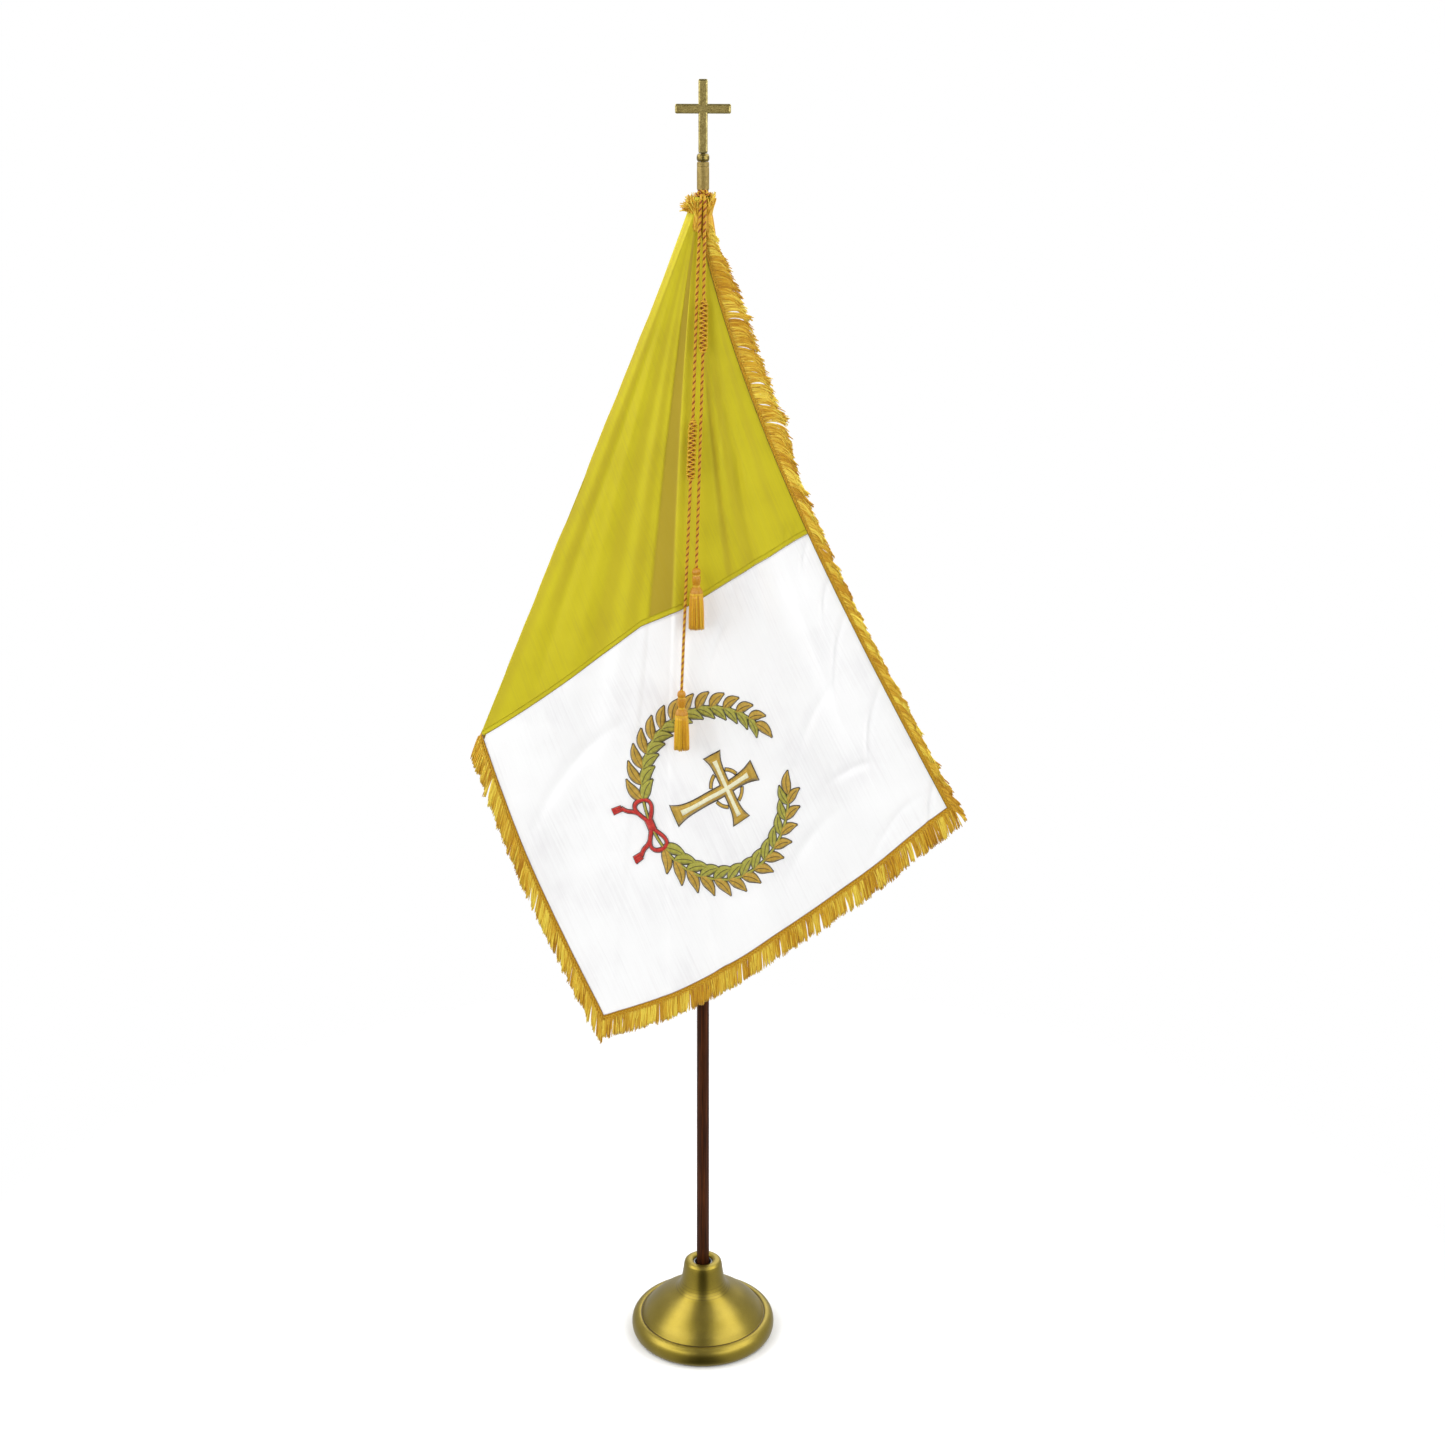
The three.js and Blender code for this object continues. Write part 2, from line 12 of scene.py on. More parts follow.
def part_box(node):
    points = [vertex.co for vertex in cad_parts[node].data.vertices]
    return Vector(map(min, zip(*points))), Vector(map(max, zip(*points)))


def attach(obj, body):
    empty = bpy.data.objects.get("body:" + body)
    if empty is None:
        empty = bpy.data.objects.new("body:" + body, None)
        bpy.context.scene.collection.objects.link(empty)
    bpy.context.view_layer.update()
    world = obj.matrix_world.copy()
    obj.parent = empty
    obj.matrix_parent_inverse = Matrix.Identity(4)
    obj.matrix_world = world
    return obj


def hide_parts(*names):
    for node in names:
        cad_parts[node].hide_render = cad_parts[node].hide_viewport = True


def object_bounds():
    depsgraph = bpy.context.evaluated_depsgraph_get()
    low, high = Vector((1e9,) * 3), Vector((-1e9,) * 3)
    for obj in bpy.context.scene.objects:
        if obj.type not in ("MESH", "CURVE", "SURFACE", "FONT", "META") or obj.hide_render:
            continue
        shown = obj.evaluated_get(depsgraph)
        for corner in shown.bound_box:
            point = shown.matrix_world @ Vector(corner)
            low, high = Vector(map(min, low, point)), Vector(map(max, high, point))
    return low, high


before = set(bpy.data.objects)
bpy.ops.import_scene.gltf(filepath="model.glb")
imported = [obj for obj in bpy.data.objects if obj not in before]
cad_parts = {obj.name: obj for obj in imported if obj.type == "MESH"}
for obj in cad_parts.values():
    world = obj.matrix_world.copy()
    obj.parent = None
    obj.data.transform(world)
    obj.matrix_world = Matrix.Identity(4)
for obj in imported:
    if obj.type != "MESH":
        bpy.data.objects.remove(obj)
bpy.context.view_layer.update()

TAU = 2 * math.pi
MM = 0.001
DOWN = np.array([0.0, 0.0, -1.0])


# ---------------------------------------------------------------- camera

CAMERA_AT = Vector((0.0389, -3.7, 2.5))
CAMERA_PITCH = math.radians(16.745)
CAMERA_ROLL = math.radians(0.18)
CAMERA_LENS = 48.275


def make_camera():
    data = bpy.data.cameras.new("camera")
    data.lens = CAMERA_LENS
    data.sensor_width = 36
    camera = bpy.data.objects.new("camera", data)
    turn = Matrix.Rotation(math.pi / 2 - CAMERA_PITCH, 4, "X") @ Matrix.Rotation(CAMERA_ROLL, 4, "Z")
    camera.matrix_world = Matrix.Translation(CAMERA_AT) @ turn
    bpy.context.scene.collection.objects.link(camera)
    bpy.context.scene.camera = camera


make_camera()


# ---------------------------------------------------------------- materials

def linear(code):
    """Scene colour of a #rrggbb code."""
    parts = [int(code[i:i + 2], 16) / 255 for i in (1, 3, 5)]
    return tuple(c / 12.92 if c <= 0.04045 else ((c + 0.055) / 1.055) ** 2.4 for c in parts) + (1.0,)


class Shader:
    """A Principled material with short calls for its nodes."""

    def __init__(self, name, **values):
        self.material = bpy.data.materials.new(name)
        self.material.use_nodes = True
        self.tree = self.material.node_tree
        self.surface = self.tree.nodes["Principled BSDF"]
        for key, value in values.items():
            self.surface.inputs[key.replace("_", " ")].default_value = value

    def node(self, kind, **inputs):
        node = self.tree.nodes.new("ShaderNode" + kind)
        for key, value in inputs.items():
            self.feed(node, key.replace("_", " "), value)
        return node

    def feed(self, node, socket, value):
        if isinstance(value, bpy.types.NodeSocket):
            self.tree.links.new(value, node.inputs[socket])
        else:
            node.inputs[socket].default_value = value

    def place(self, stretch=(1, 1, 1), kind="Object"):
        """Coordinates on the object, or along the cloth for kind="UV", stretched on each axis."""
        source = self.node("TexCoord").outputs[kind]
        mapping = self.node("Mapping", Vector=source, Scale=stretch)
        return mapping.outputs["Vector"]

    def noise(self, at, scale, detail=4.0, roughness=0.55):
        node = self.node("TexNoise", Vector=at, Scale=scale, Detail=detail, Roughness=roughness)
        return node.outputs["Fac"]

    def cells(self, at, scale):
        return self.node("TexVoronoi", Vector=at, Scale=scale).outputs["Distance"]

    def waves(self, at, scale, direction="X", distortion=0.0):
        node = self.node("TexWave", Vector=at, Scale=scale, Distortion=distortion)
        node.bands_direction = direction
        return node.outputs["Fac"]

    def ramp(self, factor, *stops):
        """Colours or greys at places along a factor."""
        node = self.node("ValToRGB", Fac=factor)
        line = node.color_ramp.elements
        for _ in range(len(stops) - 2):
            line.new(0.5)
        for element, (place, value) in zip(line, stops):
            element.position = place
            element.color = linear(value) if isinstance(value, str) else (value, value, value, 1)
        return node.outputs["Color"]

    def blend(self, factor, first, second, how="MIX"):
        node = self.tree.nodes.new("ShaderNodeMix")
        node.data_type = "RGBA"
        node.blend_type = how
        for socket, value in ((node.inputs[0], factor), (node.inputs[6], first), (node.inputs[7], second)):
            if isinstance(value, bpy.types.NodeSocket):
                self.tree.links.new(value, socket)
            else:
                socket.default_value = value
        return node.outputs[2]

    def math(self, how, first, second):
        node = self.tree.nodes.new("ShaderNodeMath")
        node.operation = how
        for socket, value in zip(node.inputs, (first, second)):
            if isinstance(value, bpy.types.NodeSocket):
                self.tree.links.new(value, socket)
            else:
                socket.default_value = value
        return node.outputs[0]

    def line_at(self, value, place, half, strength):
        """A soft line of the given half width where a value passes a place."""
        gap = self.math("ABSOLUTE", self.math("SUBTRACT", value, place), 0.0)
        return self.ramp(self.math("DIVIDE", gap, half), (0.35, strength), (1.0, 0.0))

    def attribute(self, name):
        node = self.tree.nodes.new("ShaderNodeAttribute")
        node.attribute_name = name
        return node.outputs["Fac"]

    def use(self, color=None, roughness=None, height=None, depth=0.0002, strength=1.0):
        if color is not None:
            self.feed(self.surface, "Base Color", color)
        if roughness is not None:
            self.feed(self.surface, "Roughness", roughness)
        if height is not None:
            bump = self.node("Bump", Height=height, Distance=depth, Strength=strength)
            self.feed(self.surface, "Normal", bump.outputs["Normal"])
        return self.material


# Radius of the base's groove, where a dark line of painted shade runs, and heights of dark lines round the
# neck
GROOVE_RADIUS = 0.1340
NECK_LINES = (0.120, 0.113, 0.107, 0.102)


def spun_brass():
    s = Shader("spun_brass", Metallic=1.0, Anisotropic=0.6, Anisotropic_Rotation=0.25,
               Coat_Weight=0.5, Coat_Roughness=0.36)
    at = s.place()
    rings = s.noise(s.place((1, 1, 420)), 1.0, 3)
    cloud = s.noise(at, 14, 5)
    fleck = s.noise(at, 900, 2)
    color = s.blend(s.ramp(cloud, (0.3, 0.0), (0.72, 1.0)), linear("#92801f"), linear("#aa9634"))
    color = s.blend(s.ramp(fleck, (0.42, 0.25), (0.62, 0.0)), color, linear("#6b561c"))
    axes = s.node("SeparateXYZ", Vector=at)
    flat = s.node("CombineXYZ", X=axes.outputs["X"], Y=axes.outputs["Y"])
    radius = s.node("VectorMath", Vector=flat.outputs["Vector"])
    radius.operation = "LENGTH"
    # Painted shade: a dark line in the groove, where shade falls, with a little patina
    color = s.blend(s.line_at(radius.outputs["Value"], GROOVE_RADIUS, 0.0024, 0.85), color, linear("#3c2e0e"))
    # Dark lines in the colour round the neck at these heights
    for height in NECK_LINES:
        color = s.blend(s.line_at(axes.outputs["Z"], height, 0.0011, 0.30), color, linear("#4a3a12"))
    rough = s.ramp(s.blend(0.5, rings, cloud), (0.3, 0.33), (0.7, 0.43))
    tangent = s.node("Tangent")
    tangent.direction_type = "RADIAL"
    tangent.axis = "Z"
    s.feed(s.surface, "Tangent", tangent.outputs["Tangent"])
    return s.use(color, rough, rings, 0.00012, 0.35)


def antique_brass(name, low, high, dark, rough, metal):
    s = Shader(name, Metallic=metal)
    at = s.place()
    mottle = s.noise(at, 160, 6, 0.65)
    speck = s.noise(at, 620, 3)
    color = s.blend(s.ramp(mottle, (0.36, 0.0), (0.64, 1.0)), linear(low), linear(high))
    color = s.blend(s.ramp(speck, (0.38, 0.75), (0.5, 0.0)), color, linear(dark))
    roughness = s.ramp(mottle, (0.3, rough + 0.16), (0.7, rough))
    height = s.blend(0.5, mottle, speck)
    return s.use(color, roughness, height, 0.0004, 0.5)


def machined_steel():
    s = Shader("machined_steel", Metallic=1.0)
    lines = s.noise(s.place((1, 1, 600)), 1.0, 3)
    cloud = s.noise(s.place(), 40, 4)
    color = s.ramp(s.blend(0.5, lines, cloud), (0.3, "#6f7276"), (0.7, "#a4a7aa"))
    return s.use(color, s.ramp(cloud, (0.3, 0.28), (0.7, 0.45)), lines, 0.0001, 0.3)


def cast_iron():
    s = Shader("cast_iron", Metallic=0.85)
    grit = s.noise(s.place(), 420, 6, 0.7)
    rust = s.noise(s.place(), 22, 5)
    color = s.blend(s.ramp(rust, (0.55, 0.0), (0.72, 0.7)), linear("#3b3b3d"), linear("#5a3c2a"))
    return s.use(color, s.ramp(grit, (0.3, 0.6), (0.7, 0.85)), grit, 0.0006, 0.8)


def wool_felt():
    s = Shader("wool_felt", Roughness=0.95, Sheen_Weight=0.4)
    fibre = s.noise(s.place(), 900, 8, 0.75)
    patch = s.noise(s.place(), 60, 4)
    color = s.ramp(s.blend(0.4, fibre, patch), (0.3, "#1d3022"), (0.7, "#3e6046"))
    return s.use(color, None, fibre, 0.0008, 0.9)


def moulded_plastic():
    s = Shader("moulded_plastic", Specular_IOR_Level=0.4)
    grain = s.noise(s.place(), 1400, 3)
    color = s.ramp(s.noise(s.place(), 30, 3), (0.3, "#121110"), (0.7, "#252321"))
    return s.use(color, s.ramp(grain, (0.3, 0.45), (0.7, 0.62)), grain, 0.0001, 0.5)


def stained_wood():
    s = Shader("stained_wood", Specular_IOR_Level=0.12)
    along = s.place((1, 1, 0.035))
    grain = s.noise(along, 260, 6, 0.6)
    pores = s.noise(s.place((1, 1, 0.012)), 900, 3)
    broad = s.noise(s.place((1, 1, 0.12)), 18, 3)
    color = s.ramp(grain, (0.28, "#1c0e07"), (0.5, "#45210b"), (0.74, "#633414"))
    color = s.blend(s.ramp(broad, (0.35, 0.0), (0.7, 0.45)), color, linear("#34190c"))
    color = s.blend(s.ramp(pores, (0.34, 0.8), (0.46, 0.0)), color, linear("#180b06"))
    return s.use(color, s.ramp(grain, (0.3, 0.5), (0.7, 0.36)), s.blend(0.5, grain, pores), 0.0003, 0.5)


def leather():
    s = Shader("leather")
    grain = s.cells(s.place(), 900)
    tone = s.noise(s.place(), 60, 4)
    return s.use(s.ramp(tone, (0.3, "#3c2413"), (0.7, "#68442a")), s.ramp(grain, (0.1, 0.5), (0.6, 0.75)),
                 grain, 0.0005, 0.8)


WEAVE = 1250.0


def nylon(name, deep, body, pale, folded, sheen):
    """Plain-woven flag nylon; its coordinates run along the cloth, in metres."""
    s = Shader(name, Sheen_Weight=sheen, Sheen_Roughness=0.35, Specular_IOR_Level=0.35)
    cloth = s.place((1, 1, 1), "UV")
    warp = s.waves(cloth, WEAVE / TAU, "X", 0.6)
    weft = s.waves(cloth, WEAVE / TAU, "Y", 0.6)
    weave = s.math("MAXIMUM", warp, weft)
    slub = s.noise(s.place((6, 260, 1), "UV"), 1.0, 3)
    cloud = s.noise(s.place((1, 1, 1), "UV"), 7, 4)
    color = s.ramp(s.blend(0.35, cloud, slub), (0.32, deep), (0.5, body), (0.7, pale))
    color = s.blend(s.ramp(weave, (0.0, 0.12), (0.6, 0.0)), color, linear(deep), "MULTIPLY")
    # Painted shade: the colour darkens towards the shade colour where the cloth lies double and along its
    # shaded fold edges
    color = s.blend(s.attribute("fold"), color, linear(folded))
    return s.use(color, s.ramp(slub, (0.3, 0.62), (0.7, 0.78)), s.blend(0.3, weave, slub), 0.00012, 0.35)


def thread(name, dark, body, bright, gloss=0.5, sheen=0.05, shine=0.35):
    """Twisted rayon thread; the strand attribute gives each strand its own tone, and on some pieces painted
    shade and highlights.
    """
    s = Shader(name, Sheen_Weight=sheen, Sheen_Roughness=0.3, Specular_IOR_Level=shine)
    fibre = s.noise(s.place((1, 1, 0.35)), 1500, 3)
    tone = s.math("ADD", s.math("MULTIPLY", s.attribute("strand"), 0.7), s.math("MULTIPLY", fibre, 0.3))
    color = s.ramp(tone, (0.08, dark), (0.45, body), (0.95, bright))
    return s.use(color, s.ramp(fibre, (0.3, gloss - 0.1), (0.7, gloss + 0.1)), fibre, 0.0003, 0.6)


def embroidery(name, dark, body, bright):
    """Satin stitch: fine ridges across each embroidered shape."""
    s = Shader(name, Sheen_Weight=0.3, Sheen_Roughness=0.3, Specular_IOR_Level=0.5)
    ridges = s.waves(s.place((1, 1, 1), "UV"), 1100 / TAU, "X", 1.2)
    tone = s.noise(s.place((160, 30, 1), "UV"), 1.0, 3)
    color = s.ramp(s.blend(0.3, tone, ridges), (0.25, dark), (0.5, body), (0.78, bright))
    return s.use(color, s.ramp(ridges, (0.2, 0.42), (0.8, 0.6)), ridges, 0.0004, 0.7)


BRASS = spun_brass()
ANTIQUE = antique_brass("antique_brass", "#8a783e", "#b5a362", "#54461f", 0.42, 0.55)
ANTIQUE_RIM = antique_brass("antique_brass_rim", "#9c8b4e", "#c9bb7c", "#6f6030", 0.26, 0.85)
COLLAR_BRASS = antique_brass("collar_brass", "#6f5f30", "#9a8948", "#43371a", 0.26, 0.85)
FERRULE_BRASS = antique_brass("ferrule_brass", "#917c42", "#a28d50", "#75632f", 0.5, 0.6)
STEEL = machined_steel()
IRON = cast_iron()
FELT = wool_felt()
PLASTIC = moulded_plastic()
WOOD = stained_wood()
LEATHER = leather()
YELLOW = nylon("yellow_nylon", "#bdae18", "#cabd16", "#d2c61c", "#b39c22", 0.05)
WHITE = nylon("white_nylon", "#f0eff0", "#fbfbfb", "#ffffff", "#cfc9c4", 0.1)
FRINGE = thread("gold_fringe", "#b4781a", "#d8a622", "#fae65a")
TAPE = thread("gold_tape", "#ac6a1a", "#d09a22", "#ecc838", 0.6)
ROPE = thread("gold_rope", "#a8681a", "#cb9a1c", "#ecc834", 0.4)
RUSSET = thread("russet_rope", "#6a220a", "#8a300c", "#a04414", 0.5)
TASSEL = thread("tassel_silk", "#b4741a", "#d4991e", "#f0cc30", 0.32)
HEAD_SILK = thread("tassel_head_silk", "#86360a", "#b5700c", "#e2b41a", 0.28, 0.0, 0.45)
# Thread for the sleeve's stitches, also used for dark lines of painted shade along the seam and the top
# fringe's tape
SEAM_AND_SHADE_THREAD = thread("seam_and_shade_line_thread", "#6d5a20", "#8d7a30", "#a8963e", 0.7)
YELLOW_STITCH = thread("yellow_stitch_thread", "#a89a18", "#b9ab1c", "#c8ba26", 0.7)
# Grey thread for lines of painted shade along the white cloth's fringe tapes
GREY_SHADE_LINE = thread("grey_shade_line_thread", "#8f8378", "#a89c90", "#beb4aa", 0.7)
GOLD_STITCH = embroidery("gold_stitch", "#9a7a26", "#c29a34", "#dcb94c")
OLIVE_STITCH = embroidery("olive_stitch", "#8a8428", "#aba63c", "#c6c258")
DARK_STITCH = embroidery("dark_stitch", "#241a0c", "#3a2b14", "#4c3a1e")
RED_STITCH = embroidery("red_stitch", "#8d1612", "#c9241c", "#de4a36")
CREAM_STITCH = embroidery("cream_stitch", "#e4dfae", "#f1eec8", "#fbf9e2")


# ---------------------------------------------------------------- mesh tools

def unit(vectors):
    return vectors / np.maximum(np.linalg.norm(vectors, axis=-1, keepdims=True), 1e-12)


def mix(a, b, t):
    return a + (b - a) * t


def smooth(x, low, high):
    t = np.clip((x - low) / (high - low), 0, 1)
    return t * t * (3 - 2 * t)


def quad_mesh(name, points, quads, **attributes):
    """A smooth mesh of quads; attributes are per-point floats, or uv for cloth coordinates."""
    points = np.asarray(points, np.float32).reshape(-1, 3)
    quads = np.asarray(quads, np.int32).reshape(-1, 4)
    mesh = bpy.data.meshes.new(name)
    mesh.vertices.add(len(points))
    mesh.vertices.foreach_set("co", points.ravel())
    mesh.loops.add(quads.size)
    mesh.loops.foreach_set("vertex_index", quads.ravel())
    mesh.polygons.add(len(quads))
    mesh.polygons.foreach_set("loop_start", np.arange(0, quads.size, 4, dtype=np.int32))
    mesh.polygons.foreach_set("use_smooth", np.ones(len(quads), bool))
    mesh.update(calc_edges=True)
    for key, values in attributes.items():
        if key == "uv":
            layer = mesh.uv_layers.new(name="cloth")
            flat = np.asarray(values, np.float32).reshape(-1, 2)[quads.ravel()]
            layer.data.foreach_set("uv", flat.ravel())
        else:
            layer = mesh.attributes.new(key, "FLOAT", "POINT")
            layer.data.foreach_set("value", np.asarray(values, np.float32).ravel())
    return mesh


def add_piece(name, mesh, material, body, stands_for=()):
    piece = bpy.data.objects.new(name, mesh)
    bpy.context.scene.collection.objects.link(piece)
    for each in material if isinstance(material, (list, tuple)) else [material]:
        mesh.materials.append(each)
    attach(piece, body)
    if stands_for:
        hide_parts(*stands_for)
    return piece


def ring_walls(index):
    """Quads between the rows of an index grid (..., rows, sides) whose columns close round."""
    beside = np.roll(index, -1, axis=-1)
    corners = [index[..., :-1, :], beside[..., :-1, :], beside[..., 1:, :], index[..., 1:, :]]
    return np.stack(corners, axis=-1).reshape(-1, 4)


def end_caps(first, last):
    """Quads that close the first and last rings (..., sides) of a tube."""
    faces = []
    for k in range(1, last.shape[-1] // 2):
        corners = [0, 2 * k - 1, 2 * k, 2 * k + 1]
        faces.append(last[..., corners].reshape(-1, 4))
        faces.append(first[..., corners[::-1]].reshape(-1, 4))
    return faces


def tubes(paths, radii, sides, helper=(0, 0, 1)):
    """Points and quads of closed round tubes along paths (n, k, 3) with radii (n, k)."""
    paths = np.asarray(paths, float)
    count, steps, _ = paths.shape
    radii = np.broadcast_to(np.asarray(radii, float), (count, steps))
    tangent = unit(np.gradient(paths, axis=1))
    side = unit(np.cross(tangent, np.asarray(helper, float)))
    up = np.cross(tangent, side)
    turn = np.arange(sides) / sides * TAU
    rim = np.cos(turn)[:, None] * side[:, :, None, :] + np.sin(turn)[:, None] * up[:, :, None, :]
    points = paths[:, :, None, :] + radii[:, :, None, None] * rim
    index = np.arange(count * steps * sides).reshape(count, steps, sides)
    faces = [ring_walls(index), *end_caps(index[:, 0], index[:, -1])]
    return points.reshape(-1, 3), np.concatenate(faces)


def gather(*parts):
    """One set of points and quads from several."""
    points, quads, start = [], [], 0
    for some_points, some_quads in parts:
        points.append(some_points)
        quads.append(some_quads + start)
        start += len(some_points)
    return np.concatenate(points), np.concatenate(quads)


def sheet_solid(middle, normal, thickness):
    """Points and quads of a thin closed solid about a grid (rows, columns, 3)."""
    rows, columns, _ = middle.shape
    points = np.concatenate([(middle + normal * thickness / 2).reshape(-1, 3),
                             (middle - normal * thickness / 2).reshape(-1, 3)])
    index = np.arange(rows * columns).reshape(rows, columns)
    front = np.stack([index[:-1, :-1], index[1:, :-1], index[1:, 1:], index[:-1, 1:]], axis=-1).reshape(-1, 4)
    across = np.cross(middle[1, 0] - middle[0, 0], middle[0, 1] - middle[0, 0])
    if across @ normal[0, 0] < 0:
        front = front[:, ::-1]
    half = rows * columns
    back = front[:, ::-1] + half
    rim = np.concatenate([index[0, :-1], index[:-1, -1], index[-1, :0:-1], index[:0:-1, 0]])
    ahead = np.roll(rim, -1)
    edge = np.stack([rim, rim + half, ahead + half, ahead], axis=-1)
    if across @ normal[0, 0] < 0:
        edge = edge[:, ::-1]
    return points, np.concatenate([front, back, edge])


def thread_piece(name, sets, tone, material, slot, body="upper_section", stands_for=()):
    """A piece of thread: sets of tubes, and one tone for all or one for each point."""
    points, quads = gather(*sets)
    mesh = quad_mesh(name, points, quads, strand=np.broadcast_to(tone, len(points)))
    return add_piece(name, mesh, material, body, stands_for)


# ---------------------------------------------------------------- turned pieces

def outline_of(node):
    """A turned node's outline on its -Y side: (radius, height) points in order."""
    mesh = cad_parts[node].data
    fine = 1e5
    key = {}
    for vertex in mesh.vertices:
        x, y, z = vertex.co
        if abs(x) < 2e-5 and y < 2e-5:
            key[vertex.index] = (round(-y * fine), round(z * fine))
    links = {place: set() for place in key.values()}
    for edge in mesh.edges:
        a, b = (key.get(i) for i in edge.vertices)
        if a is not None and b is not None and a != b:
            links[a].add(b)
            links[b].add(a)
    on_axis = [place for place in links if place[0] == 0]
    here = min(on_axis or links, key=lambda place: place[1])
    walked = [here]
    left = set(links) - {here}
    while left:
        near = links[here] & left or left
        here = min(near, key=lambda place: abs(place[0] - here[0]) + abs(place[1] - here[1]))
        walked.append(here)
        left.discard(here)
    return [(r / fine, z / fine) for r, z in walked]


SHARP = math.radians(33)


def soften(outline, steps=5):
    """Runs a smooth curve through an outline, and keeps its sharp corners with a small round."""
    points = [np.array(p) for p in outline]
    count = len(points)
    on_axis = outline[0][0] == 0
    smooth_out = []

    def heading(i, j):
        gap = points[j % count] - points[i % count]
        return gap / max(np.linalg.norm(gap), 1e-9)

    turns = []
    for i in range(count):
        cosine = float(np.clip(heading(i - 1, i) @ heading(i, i + 1), -1, 1))
        at_end = on_axis and i in (0, count - 1)
        turns.append(math.pi if at_end else math.acos(cosine))
    last = count - 1 if on_axis else count
    for i in range(last):
        j = (i + 1) % count
        a, b = points[i], points[j]
        chord = np.linalg.norm(b - a)
        start = heading(i, j) if turns[i] > SHARP else heading(i - 1, j)
        end = heading(i, j) if turns[j] > SHARP else heading(i, j + 1)
        straight = turns[i] > SHARP and turns[j] > SHARP
        for k in range(1 if straight else steps):
            t = k / steps
            curve = ((2 * t ** 3 - 3 * t ** 2 + 1) * a + (t ** 3 - 2 * t ** 2 + t) * chord * start
                     + (3 * t ** 2 - 2 * t ** 3) * b + (t ** 3 - t ** 2) * chord * end)
            smooth_out.append(tuple(curve))
    if on_axis:
        smooth_out.append(tuple(points[-1]))
    return round_corners(smooth_out, on_axis)


CORNER_ROUND = 0.00025


def round_corners(outline, on_axis):
    """Cuts each sharp corner with a short bevel."""
    points = [np.array(p) for p in outline]
    count = len(points)
    made = []
    for i, here in enumerate(points):
        if on_axis and i in (0, count - 1):
            made.append(tuple(here))
            continue
        before, after = points[i - 1] - here, points[(i + 1) % count] - here
        sizes = np.linalg.norm(before), np.linalg.norm(after)
        cosine = float(before @ after) / max(sizes[0] * sizes[1], 1e-12)
        if cosine > -math.cos(SHARP):
            reach = min(CORNER_ROUND, 0.3 * sizes[0], 0.3 * sizes[1])
            made.append(tuple(here + before / sizes[0] * reach))
            made.append(tuple(here + (before / sizes[0] + after / sizes[1]) * reach * 0.28))
            made.append(tuple(here + after / sizes[1] * reach))
        else:
            made.append(tuple(here))
    return made


def lathe_mesh(name, outline, segments, swell=None):
    """A turned mesh; swell(angle, height) may scale the radius at each place."""
    area = 0.0
    for (r0, z0), (r1, z1) in zip(outline, outline[1:] + outline[:1]):
        area += r0 * z1 - r1 * z0
    turning = outline if area > 0 else outline[::-1]
    angles = [TAU * k / segments for k in range(segments)]
    points, rings = [], []
    for r, z in turning:
        if r < 1e-6:
            rings.append([len(points)] * segments)
            points.append((0, 0, z))
            continue
        rings.append(list(range(len(points), len(points) + segments)))
        for a in angles:
            scale = swell(a, z) if swell else 1
            points.append((r * scale * math.cos(a), r * scale * math.sin(a), z))
    closed = turning[0][0] >= 1e-6
    faces = []
    for i in range(len(rings) if closed else len(rings) - 1):
        lower, upper = rings[i], rings[(i + 1) % len(rings)]
        for k in range(segments):
            n = (k + 1) % segments
            corners = [lower[k], lower[n], upper[n], upper[k]]
            face = list(dict.fromkeys(corners))
            if len(face) > 2:
                faces.append(face)
    mesh = bpy.data.meshes.new(name)
    mesh.from_pydata(points, [], faces)
    mesh.polygons.foreach_set("use_smooth", [True] * len(mesh.polygons))
    mesh.set_sharp_from_angle(angle=math.radians(40))
    return mesh


def turned(node, material, body, segments=128, steps=5):
    """A finer turned surface in the place of a CAD node."""
    mesh = lathe_mesh(node + "_surface", soften(outline_of(node), steps), segments)
    return add_piece(node + "_surface", mesh, material, body, [node])


def threaded(node, material, body, pitch, depth, segments=40, steps=8):
    """A screw with a real helical thread, as long and as thick as the CAD node."""
    low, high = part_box(node)
    radius = high.x
    rows = int((high.z - low.z) / pitch * steps)
    z = np.linspace(low.z, high.z, rows)[:, None]
    angle = np.arange(segments)[None, :] / segments * TAU
    groove = np.abs(((z / pitch - angle / TAU) % 1) - 0.5) * 2
    taper = np.minimum(smooth(z, low.z, low.z + pitch), smooth(-z, -high.z, -high.z + pitch))
    r = radius - depth * (1 - groove) - 0.12 * radius * (1 - taper)
    points = np.stack([r * np.cos(angle), r * np.sin(angle), z + 0 * angle], axis=-1)
    index = np.arange(rows * segments).reshape(rows, segments)
    faces = np.concatenate([ring_walls(index), *end_caps(index[0], index[-1])])
    mesh = quad_mesh(node + "_thread", points, faces)
    mesh.set_sharp_from_angle(angle=math.radians(50))
    return add_piece(node + "_thread", mesh, material, body, [node])


# ---------------------------------------------------------------- the hanging cloth

# Cloth coordinates: u along the top edge from the pole, v down from the top edge. The flag hangs
# from its top corner at the pole; its rays fan out from there to the far edges, round a fold on the
# left and back to the sleeve in pleats.
SLEEVE_LOW, SLEEVE_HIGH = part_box("flag_sleeve")
FLAG_TOP = SLEEVE_HIGH.z
WIDTH = SLEEVE_HIGH.z - SLEEVE_LOW.z
LENGTH = 1.274
SPLIT = 0.650
TOP_CORNER = np.array([0.500, -0.056, 1.225])
LOW_CORNER = np.array([-0.209, -0.044, 0.752])
FOLD_CORNER = np.array([-0.446, -0.014, 1.357])
HOIST_CORNER = np.array([-0.0185, 0, SLEEVE_LOW.z])
CORNER_ANGLE = math.atan2(WIDTH, LENGTH)
FOLD_ANGLE = math.atan2(WIDTH, SPLIT)
